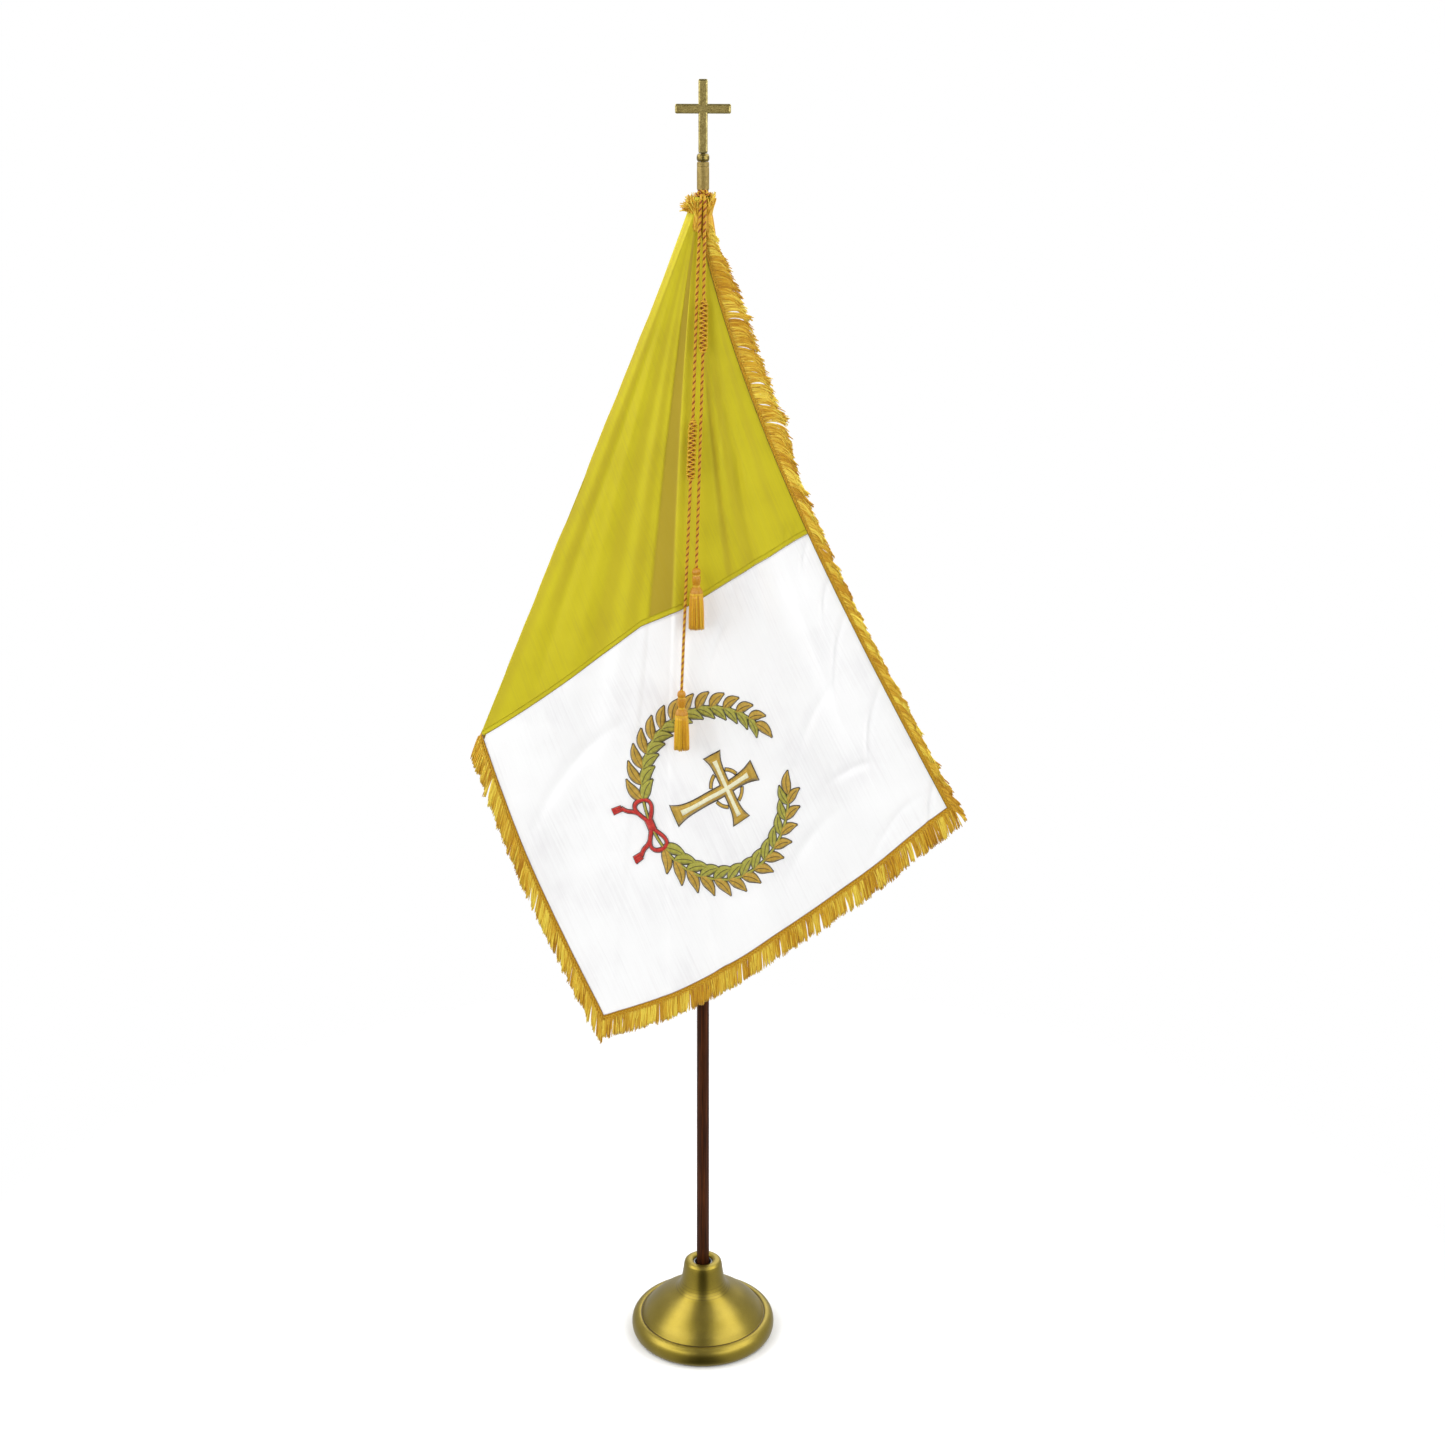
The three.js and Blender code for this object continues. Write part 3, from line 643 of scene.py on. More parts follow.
PLEATS = 3
PLEAT_DEPTH = 0.078
TOP_EDGE_SAG = 0.048
FLY_EDGE_SAG = 0.050
FOOT_EDGE_SAG = 0.016
BIAS_STRETCH = 0.11
SOFT_WAVES = [(0.16, -0.012, 0.07), (0.36, 0.011, 0.09), (0.55, -0.009, 0.07), (0.72, 0.010, 0.08)]

# Creases on the front: share of the fan, depth, half width, and where along the ray each lives
CREASES = [
    (0.70, 0.0045, 0.030, 0.10, 0.80), (0.54, 0.0040, 0.030, 0.10, 0.85), (0.345, -0.0032, 0.016, 0.12, 0.62),
    (0.30, 0.0028, 0.018, 0.10, 0.60), (0.245, -0.0040, 0.022, 0.15, 0.70), (0.19, 0.0030, 0.020, 0.20, 0.75),
    (0.12, -0.0035, 0.018, 0.45, 0.92), (0.83, 0.0035, 0.030, 0.10, 0.80), (0.90, -0.0030, 0.022, 0.15, 0.90),
    (0.42, 0.0030, 0.030, 0.60, 1.10), (0.22, -0.0035, 0.030, 0.62, 1.10), (0.47, -0.0030, 0.025, 0.50, 1.05),
]
# Soft dents: u, v, depth, length along, half width, direction in degrees
DENTS = [
    (0.877, 0.069, -0.0054, 0.080, 0.0065, 37), (1.035, 0.075, -0.0060, 0.070, 0.0065, 37),
    (1.080, 0.150, -0.0060, 0.045, 0.0070, 100), (1.235, 0.040, -0.0054, 0.045, 0.0060, 36),
    (1.217, 0.125, -0.0054, 0.060, 0.0065, 75), (0.685, 0.042, -0.0045, 0.035, 0.0050, 39),
    (0.777, 0.043, -0.0045, 0.045, 0.0050, 37), (1.205, 0.560, -0.0053, 0.090, 0.0160, 15),
    (0.950, 0.170, -0.0053, 0.080, 0.0100, 60), (1.150, 0.300, -0.0053, 0.080, 0.0120, 70),
    (0.740, 0.300, -0.0045, 0.070, 0.0120, 55), (0.800, 0.680, -0.0045, 0.110, 0.0140, 75),
    (0.628, 0.058, -0.0030, 0.024, 0.0035, 42), (0.634, 0.036, -0.0030, 0.018, 0.0035, 47),
    (0.460, 0.093, -0.0030, 0.130, 0.0110, 28), (0.430, 0.125, 0.0016, 0.160, 0.0050, 28),
]
# Painted shade on the hoist half, where it lies double and along its folds and left edge: share of the fan,
# half width, edge width, strength, and where along the ray each starts and stops
FOLD_BAND = 0.588
FOLD_BAND_RISE = 0.0022
SHADES = [
    (FOLD_BAND, 0.034, 0.008, 1.00, 0.02, 0.60), (0.675, 0.016, 0.016, 0.26, 0.05, 0.60),
    (0.760, 0.020, 0.022, 0.30, 0.05, 0.80), (0.935, 0.014, 0.016, 0.34, 0.05, 0.75),
    (0.990, 0.010, 0.016, 0.40, 0.00, 1.20), (0.480, 0.012, 0.016, 0.26, 0.05, 0.60),
    (0.345, 0.010, 0.012, 0.42, 0.08, 0.60), (0.265, 0.020, 0.020, 0.30, 0.20, 0.62),
    (0.110, 0.016, 0.016, 0.22, 0.15, 0.50),
]


def fold_shade(angle, distance):
    """How much painted shade the cloth has, from 0 to 1, where it lies double and along its folds."""
    share = angle / FOLD_ANGLE
    along = distance / ray_length(angle)
    shade = 0 * share * along
    for place, half, edge, strength, start, stop in SHADES:
        across = 1 - smooth(np.abs(share - place), half - edge / 2, half + edge)
        live = smooth(along, start, start + 0.05) * (1 - smooth(along, stop - 0.1, stop))
        shade = np.maximum(shade, strength * across * live)
    return shade


def ray_length(angle):
    return np.where(angle <= CORNER_ANGLE, LENGTH / np.cos(np.minimum(angle, 1.5)),
                    WIDTH / np.sin(np.maximum(angle, CORNER_ANGLE)))


def ray_start(angle):
    turn = smooth(angle, FOLD_ANGLE - 0.05, FOLD_ANGLE + 0.05)[..., None]
    share = angle / FOLD_ANGLE
    front = np.stack([mix(-0.007, -0.005, share), 0 * share - 0.025, 0 * share + FLAG_TOP], axis=-1)
    return mix(front, np.array([-0.0185, 0, FLAG_TOP]), turn)


def ray_end(angle):
    share = angle / FOLD_ANGLE
    down = LENGTH * np.tan(np.minimum(angle, CORNER_ANGLE)) / WIDTH
    sag = FLY_EDGE_SAG * np.sin(math.pi * np.clip(down, 0, 1) ** 1.3)
    fly = mix(TOP_CORNER, LOW_CORNER, down[..., None]) + sag[..., None] * np.array([0.39, 0, -0.92])
    u = WIDTH / np.tan(np.maximum(angle, CORNER_ANGLE))
    along = (LENGTH - u) / (LENGTH - SPLIT)
    sag = FOOT_EDGE_SAG * np.sin(math.pi * np.clip(along, 0, 1))
    foot = mix(LOW_CORNER, FOLD_CORNER, along[..., None]) + sag[..., None] * np.array([-0.93, 0, -0.36])
    end = np.where((angle <= CORNER_ANGLE)[..., None], fly, foot)
    for place, depth, spread in SOFT_WAVES:
        end[..., 1] += depth * np.exp(-(((share - place) / spread) ** 2))
    behind = np.maximum((SPLIT - u) / SPLIT, 0)
    back = mix(FOLD_CORNER, HOIST_CORNER, behind[..., None])
    pleat = 0.5 - 0.5 * np.cos(TAU * PLEATS * behind)
    depth = mix(0.012, 0.002, behind) + PLEAT_DEPTH * pleat
    back[..., 1] = mix(end[..., 1], depth, smooth(angle, FOLD_ANGLE, FOLD_ANGLE + 0.05))
    return np.where((angle > FOLD_ANGLE)[..., None], back, end)


def cloth_point(angle, distance):
    even = distance / ray_length(angle)
    within = np.minimum(even, 1)
    bias = BIAS_STRETCH * np.sin(math.pi * np.minimum(angle / FOLD_ANGLE, 1))
    share = even - bias * within * (1 - within)
    point = mix(ray_start(angle), ray_end(angle), share[..., None])
    sag = TOP_EDGE_SAG * np.sin(math.pi * np.maximum(within, 0) ** 0.75)
    sag = sag * np.maximum(0, 1 - angle / FOLD_ANGLE)
    return point + sag[..., None] * np.array([-0.92, 0, -0.39])


def cloth_normal(angle, distance):
    """Outward normal of the cloth's face, which looks to -Y on the front."""
    turn, step = 1e-3, 1e-3
    around = cloth_point(angle + turn, distance) - cloth_point(np.maximum(angle - turn, 0), distance)
    out = cloth_point(angle, distance + step) - cloth_point(angle, distance - step)
    return unit(np.cross(around, out))


def crease_lift(angle, distance):
    """How far the creases move the cloth along its normal."""
    share = angle / FOLD_ANGLE
    along = distance / ray_length(angle)
    lift = 0 * share
    band = 1 - smooth(np.abs(share - FOLD_BAND), 0.032, 0.044)
    lift = lift - FOLD_BAND_RISE * band * smooth(along, 0.06, 0.2)
    for place, depth, spread, start, stop in CREASES:
        live = smooth(along, start, start + 0.25) * (1 - smooth(along, stop - 0.2, stop))
        drift = place + 0.012 * np.sin(5 * along + 40 * place)
        lift = lift + depth * live * np.exp(-(((share - drift) / spread) ** 2))
    u, v = distance * np.cos(angle), distance * np.sin(angle)
    for du, dv, depth, reach, spread, heading in DENTS:
        ca, sa = math.cos(math.radians(heading)), math.sin(math.radians(heading))
        lengthwise = ((u - du) * ca + (v - dv) * sa) / reach
        bow = 0.15 * reach * lengthwise ** 2
        crosswise = (-(u - du) * sa + (v - dv) * ca + bow) / spread
        lift = lift + depth * np.exp(-lengthwise ** 2 - crosswise ** 2)
    soft = 0.0009 * np.sin(23 * u + 11 * v + 1.3) * np.sin(17 * v - 9 * u)
    soft = soft + 0.0005 * np.sin(61 * u - 13 * v) * np.sin(47 * v + 21 * u + 2.1)
    return lift + soft * smooth(along, 0.05, 0.3)


def hang(angle, distance, lift=0.0):
    """Points of the creased cloth, raised off it by lift."""
    angle = np.asarray(angle, float)
    distance = np.asarray(distance, float)
    angle, distance = np.broadcast_arrays(angle, distance)
    normal = cloth_normal(angle, distance)
    height = crease_lift(angle, distance) + lift
    return cloth_point(angle, distance) + height[..., None] * normal


def lay(u, v, lift=0.0):
    """The same for cloth coordinates."""
    u, v = np.broadcast_arrays(np.asarray(u, float), np.asarray(v, float))
    return hang(np.arctan2(v, u), np.hypot(u, v), lift)


# ---------------------------------------------------------------- cord and tassels

# Routes of the two hanging strands, repeated from the CAD part: (height, x) where each bends
STRAND_TOP = 2.394
ROUTES = {
    "short": {"bends": [(2.394, 0.0036), (2.216, 0.0016), (2.120, 0.0004), (1.717, -0.012)],
              "knot": (2.216, 2.120), "seed": 31},
    "long": {"bends": [(2.394, -0.0036), (2.216, -0.0114), (1.995, -0.018), (1.476, -0.041)],
             "knot": (1.995, 1.882), "seed": 32},
}
ROPE_DIAMETER = 0.006
ROPE_LAY = 0.0125
HEAD_ENTRY = 0.006
LEAN = 0.044
STRAND_FRONT = -0.0355


def route_point(route, z):
    """Middle line of a strand at heights z; it leans forward a little, clear of the cloth."""
    heights = [h for h, _ in route["bends"]][::-1]
    across = [x for _, x in route["bends"]][::-1]
    x = np.interp(z, heights, across)
    return np.stack([x, STRAND_FRONT - LEAN * (STRAND_TOP - z), z], axis=-1)


def route_ease(points):
    """Rounds the small bends of a route, with its ends kept."""
    eased = points.copy()
    for _ in range(12):
        eased[1:-1] = (eased[:-2] + 2 * eased[1:-1] + eased[2:]) / 4
    return eased


def rope(path, diameter, lay_length, phase=0.0, helper=(1, 0, 0)):
    """A laid rope along a path: two gold strands and a thinner russet one. Returns both sets."""
    length = np.concatenate([[0], np.cumsum(np.linalg.norm(np.diff(path, axis=0), axis=1))])
    steps = max(int(length[-1] / lay_length * 14), 12)
    s = np.linspace(0, length[-1], steps)
    line = np.stack([np.interp(s, length, path[:, k]) for k in range(3)], axis=-1)
    tangent = unit(np.gradient(line, axis=0))
    side = unit(np.cross(tangent, np.asarray(helper, float)))
    up = np.cross(tangent, side)
    strand_radius = diameter * 0.27
    helix_radius = diameter * 0.52 - strand_radius
    sets = []
    for offset, scale in ((0, 1.0), (TAU / 3, 1.0), (2 * TAU / 3, 0.92)):
        turn = TAU * s / lay_length + offset + phase
        strand = line + helix_radius * (np.cos(turn)[:, None] * side + np.sin(turn)[:, None] * up)
        sets.append(tubes(strand[None], strand_radius * scale, 8, helper))
    return gather(sets[0], sets[1]), sets[2]


def striped_mesh(name, sets):
    """A mesh of several sets of tubes, one material index for each set."""
    points, quads = gather(*sets)
    mesh = quad_mesh(name, points, quads, strand=np.full(len(points), 0.5))
    index = np.concatenate([np.full(len(each[1]), k) for k, each in enumerate(sets)])
    mesh.polygons.foreach_set("material_index", index.astype(np.int32))
    return mesh


# Cords of the worked knot: phase and hand; then their pitch and thickness, and the core's
KNOT_LOOPS = [(0.0, 1), (math.pi, 1), (math.pi / 2, -1), (-math.pi / 2, -1)]
KNOT_PITCH = 0.0180
KNOT_CORD_RADIUS = 0.00135
KNOT_END_RADIUS = 0.0016
KNOT_CORE_RADIUS = 0.0031


def worked_knot(route, top, bottom):
    """The worked knot: cords wound both ways over a russet core, with a wound turn at each end."""
    z = np.linspace(top, bottom, int((top - bottom) / 0.0005))
    middle = route_point(route, z)
    ends = np.minimum(smooth(top - z, -0.002, 0.009), smooth(z - bottom, -0.002, 0.009))
    sets = []
    for phase, hand in KNOT_LOOPS:
        turn = hand * TAU * (top - z) / KNOT_PITCH + phase
        weave = 0.0007 * np.cos(2 * turn + phase)
        x = (0.0018 + 0.0054 * ends) * np.cos(turn)
        y = (0.0016 + 0.0020 * ends + weave) * np.sin(turn)
        line = middle + np.stack([x, y, 0.0008 * np.sin(3 * turn)], axis=-1)
        sets.append(tubes(line[None], KNOT_CORD_RADIUS, 8, (1, 0, 0)))
    for height in (top - 0.002, bottom + 0.002):
        turn = np.linspace(0, TAU, 28)
        at = route_point(route, np.array([height]))[0]
        loop = at + np.stack([0.0046 * np.cos(turn), 0.0036 * np.sin(turn), 0.0006 * np.sin(turn)], axis=-1)
        sets.append(tubes(loop[None], KNOT_END_RADIUS, 8))
    core = tubes(middle[None, ::6], KNOT_CORE_RADIUS, 12, (1, 0, 0))
    return striped_mesh(route["name"] + "_cord_knot_work", [gather(*sets), core])


# The head's outline: radius and height in mm, from where the cord enters
HEAD_OUTLINE = [(0, -0.3), (3.0, -1.8), (5.4, -3.2), (7.5, -7.0), (8.0, -10.5), (7.6, -13.2), (6.4, -15.8),
                (7.3, -18), (7.9, -23), (7.7, -29), (6.7, -34.6), (6.1, -37), (7.4, -39.6), (9.7, -43.4),
                (11.6, -48), (12.2, -53), (10.8, -54.5), (0, -54.5)]
HEAD_RIBS = 15
HEAD_RIB_DEPTH = 0.045
# Wound turns on the head: radius and depth below its top in mm
HEAD_BANDS = ((6.3, 15.0), (6.4, 16.9), (6.2, 36.2), (6.5, 38.1), (12.2, 51.8), (12.1, 53.8))
HEAD_BAND_RADIUS = 0.00095
SKIRT_TOP, SKIRT_END = 0.0525, 0.1225
# Rings of the skirt: number of strands, then radius at the top and at the foot in mm
SKIRT_RINGS = ((74, 11.9, 14.6), (64, 10.4, 12.8), (46, 8.0, 9.6))
SKIRT_STEPS, SKIRT_SIDES = 9, 6
SKIRT_STRAND_RADIUS = 0.00072
# The soft core inside the skirt, in the darkest tone as painted shade among the strands: radius and depth
# below the head's top
SKIRT_CORE = ((0.0085, 0.0530), (0.0100, 0.0850), (0.0108, 0.1170))
SKIRT_CORE_SIDES = 24


def tassel_head(route, name):
    """Moulded head wrapped in fine thread: a bead, a waist and a bell."""
    top = route_point(route, np.array([route["bends"][-1][0]]))[0]
    outline = soften([(r * MM, z * MM) for r, z in HEAD_OUTLINE], 4)
    mesh = lathe_mesh(name, outline, 120, lambda a, z: 1 + HEAD_RIB_DEPTH * abs(math.sin(HEAD_RIBS * a)))
    strand = mesh.attributes.new("strand", "FLOAT", "POINT")
    # Painted shade and highlight: the grooves between the ribs get dark tones, the crests light ones
    crest = [abs(math.sin(HEAD_RIBS * math.atan2(v.co.y, v.co.x))) for v in mesh.vertices]
    strand.data.foreach_set("value", [0.15 + 0.7 * c for c in crest])
    mesh.transform(Matrix.Translation(Vector(top)))
    return mesh, top


def tassel_bands(top):
    """Wound turns at the neck, waist and foot of the head."""
    sets = []
    for r, drop in HEAD_BANDS:
        turn = np.linspace(0, TAU, 60)
        loop = top + MM * np.stack([r * np.cos(turn), r * np.sin(turn), 0 * turn - drop], axis=-1)
        sets.append(tubes(loop[None], HEAD_BAND_RADIUS, 6))
    return sets


def tassel_skirt(top, rng):
    """Rings of hanging strands, flaring a little, over a dark core of painted shade; and the tone of each
    point.
    """
    sets, tones = [], []
    for count, r0, r1 in SKIRT_RINGS:
        turn = (np.arange(count) + rng.uniform(-0.3, 0.3, count)) / count * TAU
        s = np.linspace(0, 1, SKIRT_STEPS)[None, :]
        swing = turn[:, None] + 0.10 * rng.uniform(-1, 1, (count, 1)) * s
        reach = rng.uniform(0.93, 1.0, (count, 1))
        bulge = 0.7 * np.sin(math.pi * s) * rng.uniform(0.2, 1, (count, 1))
        r = MM * (mix(r0, r1, s ** 0.8) + bulge)
        z = top[2] - mix(SKIRT_TOP, SKIRT_END, s * reach)
        paths = np.stack([top[0] + r * np.cos(swing), top[1] + r * np.sin(swing), z + 0 * r], axis=-1)
        sets.append(tubes(paths, SKIRT_STRAND_RADIUS, SKIRT_SIDES, (0, 1, 0.01)))
        tones.append(np.repeat(rng.uniform(0.15, 0.9, count), SKIRT_STEPS * SKIRT_SIDES))
    r, depth = np.array(SKIRT_CORE).T[..., None]
    turn = np.arange(SKIRT_CORE_SIDES) / SKIRT_CORE_SIDES * TAU
    core = np.stack([top[0] + r * np.cos(turn), top[1] + r * np.sin(turn),
                     top[2] - depth + 0 * turn], axis=-1)
    index = np.arange(core.size // 3).reshape(core.shape[:2])
    walls = np.roll(ring_walls(index)[:, ::-1], 1, axis=1)
    faces = np.concatenate([walls, *end_caps(index[-1], index[0])])
    sets.append((core.reshape(-1, 3), faces))
    # Painted shade: the core gets the darkest tone
    tones.append(np.full(core.size // 3, 0.1))
    return sets, np.concatenate(tones)


def make_cord(name):
    route = ROUTES[name]
    route["name"] = name
    rng = np.random.default_rng(route["seed"])
    end = route["bends"][-1][0]
    cord_body, tassel_body = name + "_cord", name + "_tassel"
    path = route_ease(route_point(route, np.linspace(STRAND_TOP, end - HEAD_ENTRY, 40)))
    gold, russet = rope(path, ROPE_DIAMETER, ROPE_LAY)
    rope_mesh = striped_mesh(name + "_cord_rope", [gold, russet])
    cord_nodes = [f"cord_{name}_upper", f"cord_{name}_lower"]
    piece = add_piece(name + "_cord_rope", rope_mesh, [ROPE, RUSSET], cord_body, cord_nodes)
    knot_mesh = worked_knot(route, *route["knot"])
    knot = add_piece(knot_mesh.name, knot_mesh, [ROPE, RUSSET], cord_body, [f"cord_{name}_knot"])
    head_mesh, top = tassel_head(route, name + "_tassel_moulded_head")
    head = add_piece(head_mesh.name, head_mesh, HEAD_SILK, tassel_body,
                     [f"tassel_{name}_head"])
    bands = thread_piece(name + "_tassel_bands", tassel_bands(top), 0.7, ROPE, "gold_cord", tassel_body)
    skirt = thread_piece(name + "_tassel_strands", *tassel_skirt(top, rng), TASSEL, "gold_fringe",
                         tassel_body, [f"tassel_{name}_skirt"])


for strand_name in ROUTES:
    make_cord(strand_name)


RING_ROPE = 0.0046
HITCH_ROPE = 0.0042
HITCH_SIZE = 0.0031


def make_cord_ring():
    """Two turns of the cord round the pole under the ferrule, and the hitch in front."""
    low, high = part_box("cord_ring")
    radius = (high.x - ROPE_DIAMETER / 2) * 0.97
    turn = np.linspace(0, 2 * TAU, 160)
    z = (low.z + high.z) / 2 + 0.0014 * np.cos(turn / 2) - 0.0018
    path = np.stack([radius * np.sin(turn), -radius * np.cos(turn), z], axis=-1)
    gold, russet = rope(path, RING_ROPE, 0.012, helper=(0, 0, 1))
    add_piece("cord_ring_turns", striped_mesh("cord_ring_turns", [gold, russet]), [ROPE, RUSSET],
              "upper_section", ["cord_ring"])
    low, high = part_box("cord_hitch")
    middle = (np.array(low) + np.array(high)) / 2
    t = np.linspace(0, TAU, 120)
    loops = np.stack([HITCH_SIZE * (np.sin(t) + 2 * np.sin(2 * t)), -0.0026 * np.sin(3 * t) - 0.004,
                      HITCH_SIZE * 0.8 * (np.cos(t) - 2 * np.cos(2 * t))], axis=-1) + middle
    gold, russet = rope(loops, HITCH_ROPE, 0.011, helper=(0, 1, 0))
    tails = []
    for sign, bend in ((1, 0.0036), (-1, -0.0036)):
        s = np.linspace(0, 1, 12)[:, None]
        start = middle + np.array([sign * 0.002, -0.005, -0.001])
        end = np.array([bend, STRAND_FRONT, STRAND_TOP - 0.001])
        tails.append(tubes(mix(start, end, s)[None], 0.0024, 8, (1, 0, 0)))
    add_piece("cord_hitch_loops", striped_mesh("cord_hitch_loops", [gather(gold, *tails), russet]),
              [ROPE, RUSSET], "upper_section", ["cord_hitch"])


make_cord_ring()


# ---------------------------------------------------------------- flag

SHEET = 0.0010
START = 0.026
EDGE_GAP = 0.0004
# Grid of each panel: the hoist half's front and back columns and its rows, then the fly half's
HOIST_FRONT, HOIST_BACK, HOIST_ROWS = 300, 230, 76
FLY_COLUMNS, FLY_ROWS = 250, 110


def panel(name, angle, distance, material, node):
    """One panel of the flag from grids of cloth angles and distances."""
    middle = hang(angle, distance)
    rows = np.gradient(middle, axis=0)
    columns = np.gradient(middle, axis=1)
    normal = unit(np.cross(rows, columns))
    points, quads = sheet_solid(middle, normal, SHEET)
    uv = np.stack([distance * np.cos(angle), distance * np.sin(angle)], axis=-1)
    # Painted shade on the yellow cloth only
    shade = fold_shade(angle, distance) if material is YELLOW else np.zeros(angle.shape)
    mesh = quad_mesh(name, points, quads, uv=np.concatenate([uv.reshape(-1, 2)] * 2),
                     fold=np.concatenate([shade.ravel()] * 2))
    return add_piece(name, mesh, material, "upper_section", [node])


def make_panels():
    front = np.linspace(0, FOLD_ANGLE, HOIST_FRONT)
    back = np.arctan2(WIDTH, np.linspace(SPLIT, 0.001, HOIST_BACK))[1:]
    angle = np.concatenate([front, back])[:, None]
    far = np.where(angle <= FOLD_ANGLE, SPLIT / np.cos(np.minimum(angle, FOLD_ANGLE)),
                   WIDTH / np.sin(np.maximum(angle, 0.1)))
    share = np.linspace(0, 1, HOIST_ROWS)[None, :]
    distance = mix(START, far - EDGE_GAP, share)
    hoist = panel("flag_hoist_cloth", angle + 0 * share, distance, YELLOW, "flag_hoist_panel")
    angle = np.linspace(0, FOLD_ANGLE - 0.012, FLY_COLUMNS)[:, None]
    near = SPLIT / np.cos(angle) + 0.0006
    share = np.linspace(0, 1, FLY_ROWS)[None, :]
    distance = mix(near, ray_length(angle) - EDGE_GAP, share)
    fly = panel("flag_fly_cloth", angle + 0 * share, distance, WHITE, "flag_fly_panel")
    return hoist, fly


def ribbon(name, u, v, across, width, lift, thickness, material):
    """A flat strip sewn on the cloth along a line of cloth coordinates; across is its side direction."""
    t = np.linspace(-0.5, 0.5, 4)[None, :]
    uu = u[:, None] + across[0] * width * t
    vv = v[:, None] + across[1] * width * t
    middle = lay(uu, np.maximum(vv, 0.0), lift)
    normal = unit(np.cross(np.gradient(middle, axis=0), np.gradient(middle, axis=1)))
    points, quads = sheet_solid(middle, normal, thickness)
    uv = np.stack([uu, vv], axis=-1).reshape(-1, 2)
    mesh = quad_mesh(name, points, quads, uv=np.concatenate([uv] * 2), strand=np.full(len(points), 0.4))
    return add_piece(name, mesh, material, "upper_section")


STITCH_PITCH = 0.0034
STITCH_RADIUS = 0.00022
SEAM_LIFT = 0.0011


def stitch_row(u, v):
    """Small stitches along a line of cloth coordinates."""
    gap = np.hypot(np.diff(u), np.diff(v))
    length = np.concatenate([[0], np.cumsum(gap)])
    centres = np.arange(STITCH_PITCH, length[-1] - STITCH_PITCH, STITCH_PITCH)
    s = centres[:, None] + np.array([-0.32, -0.12, 0.12, 0.32])[None, :] * STITCH_PITCH
    rise = SEAM_LIFT + np.array([-0.0002, 0.0003, 0.0003, -0.0002])[None, :]
    paths = lay(np.interp(s, length, u), np.maximum(np.interp(s, length, v), 0.0), rise)
    return tubes(paths, STITCH_RADIUS, 4, (0.02, 1, 0.01))


def make_seam():
    """The felled seam between the two colours, with two rows of stitches and its turned-under edge as a dark
    line of painted shade.
    """
    v = np.linspace(0.004, WIDTH - 0.004, 260)
    u = np.full_like(v, SPLIT - 0.005)
    seam = ribbon("flag_middle_seam", u, v, (1, 0), 0.009, 0.0006, 0.0003, YELLOW)
    rows = [stitch_row(u + shift, v) for shift in (-0.003, 0.003)]
    stitches = thread_piece("flag_seam_stitches", rows, 0.5, YELLOW_STITCH, "gold_cord")
    # Painted shade: the seam's edge is a thin dark tube that stands for the shade line along the seam
    edge_tube = tubes(lay(u + 0.0052, v, SEAM_LIFT)[None], 0.0005, 6, (0, 1, 0))
    edge = thread_piece("flag_seam_edge_painted_shade", [edge_tube], 0.2, SEAM_AND_SHADE_THREAD, "gold_cord")
    return seam, stitches, edge


# ---------------------------------------------------------------- fringe

HEADER = 0.010
BRAID_STEP = 0.0009
BRAID_PITCH = 0.0072
BRAID_SWING = 0.0024
BRAID_RADIUS = 0.00085
# The header and braid are thin pieces, so their tubes have few sides
THREAD_SIDES = 4
THREAD_HELPER = (0.02, 1, 0.01)


def edge_line(kind, s):
    """Cloth coordinates along a free edge for shares s, and the direction into the cloth."""
    if kind == "top":
        return mix(0.034, LENGTH - 0.0005, s), 0 * s, (0, 1)
    if kind == "fly":
        return 0 * s + LENGTH, mix(0.0, WIDTH - 0.001, s), (-1, 0)
    return mix(LENGTH, 0.010, s), 0 * s + WIDTH, (0, -1)


def header(kind, count):
    """Woven header tape with a looped braid on its face, and a dark thread along its inner edge as a line of
    painted shade.
    """
    u, v, inward = edge_line(kind, np.linspace(0, 1, count))
    mid_u, mid_v = u + inward[0] * HEADER * 0.5, v + inward[1] * HEADER * 0.5
    tape = ribbon(f"fringe_{kind}_tape", mid_u, mid_v, inward, HEADER, 0.0013, 0.0014, TAPE)
    length = WIDTH if kind == "fly" else LENGTH
    s = np.linspace(0.004, 0.996, int(length / BRAID_STEP))
    u, v, inward = edge_line(kind, s)
    phase = TAU * s * length / BRAID_PITCH
    loops = []
    for offset, middle in ((0, 0.0036), (math.pi, 0.0066)):
        reach = middle + BRAID_SWING * np.sin(phase + offset)
        slip = 0.0012 * np.sin(2 * (phase + offset))
        along_u = u - slip * abs(inward[1])
        along_v = v + slip * abs(inward[0])
        path = lay(along_u + inward[0] * reach, np.maximum(along_v + inward[1] * reach, 0.0002),
                   0.0027 + 0.0006 * np.cos(phase + offset))
        loops.append(tubes(path[None], BRAID_RADIUS, THREAD_SIDES, THREAD_HELPER))
    tone = np.random.default_rng(11).uniform(0.3, 0.9, sum(len(points) for points, _ in loops))
    braid = thread_piece(f"fringe_{kind}_braid", loops, tone, ROPE, "gold_cord")
    # Painted shade: a thin dark thread along the tape's inner edge, for the shade line at the tape's edge
    inset = HEADER + 0.0006
    inner = lay(u + inward[0] * inset, np.maximum(v + inward[1] * inset, 0.0002), 0.0009)
    edge_tube = tubes(inner[None, ::4], 0.0006, THREAD_SIDES, THREAD_HELPER)
    look = SEAM_AND_SHADE_THREAD if kind == "top" else GREY_SHADE_LINE
    edge_shade_thread = thread_piece(f"fringe_{kind}_edge_shade_thread", [edge_tube], 0.3, look, "gold_cord")
    return [tape, braid, edge_shade_thread]


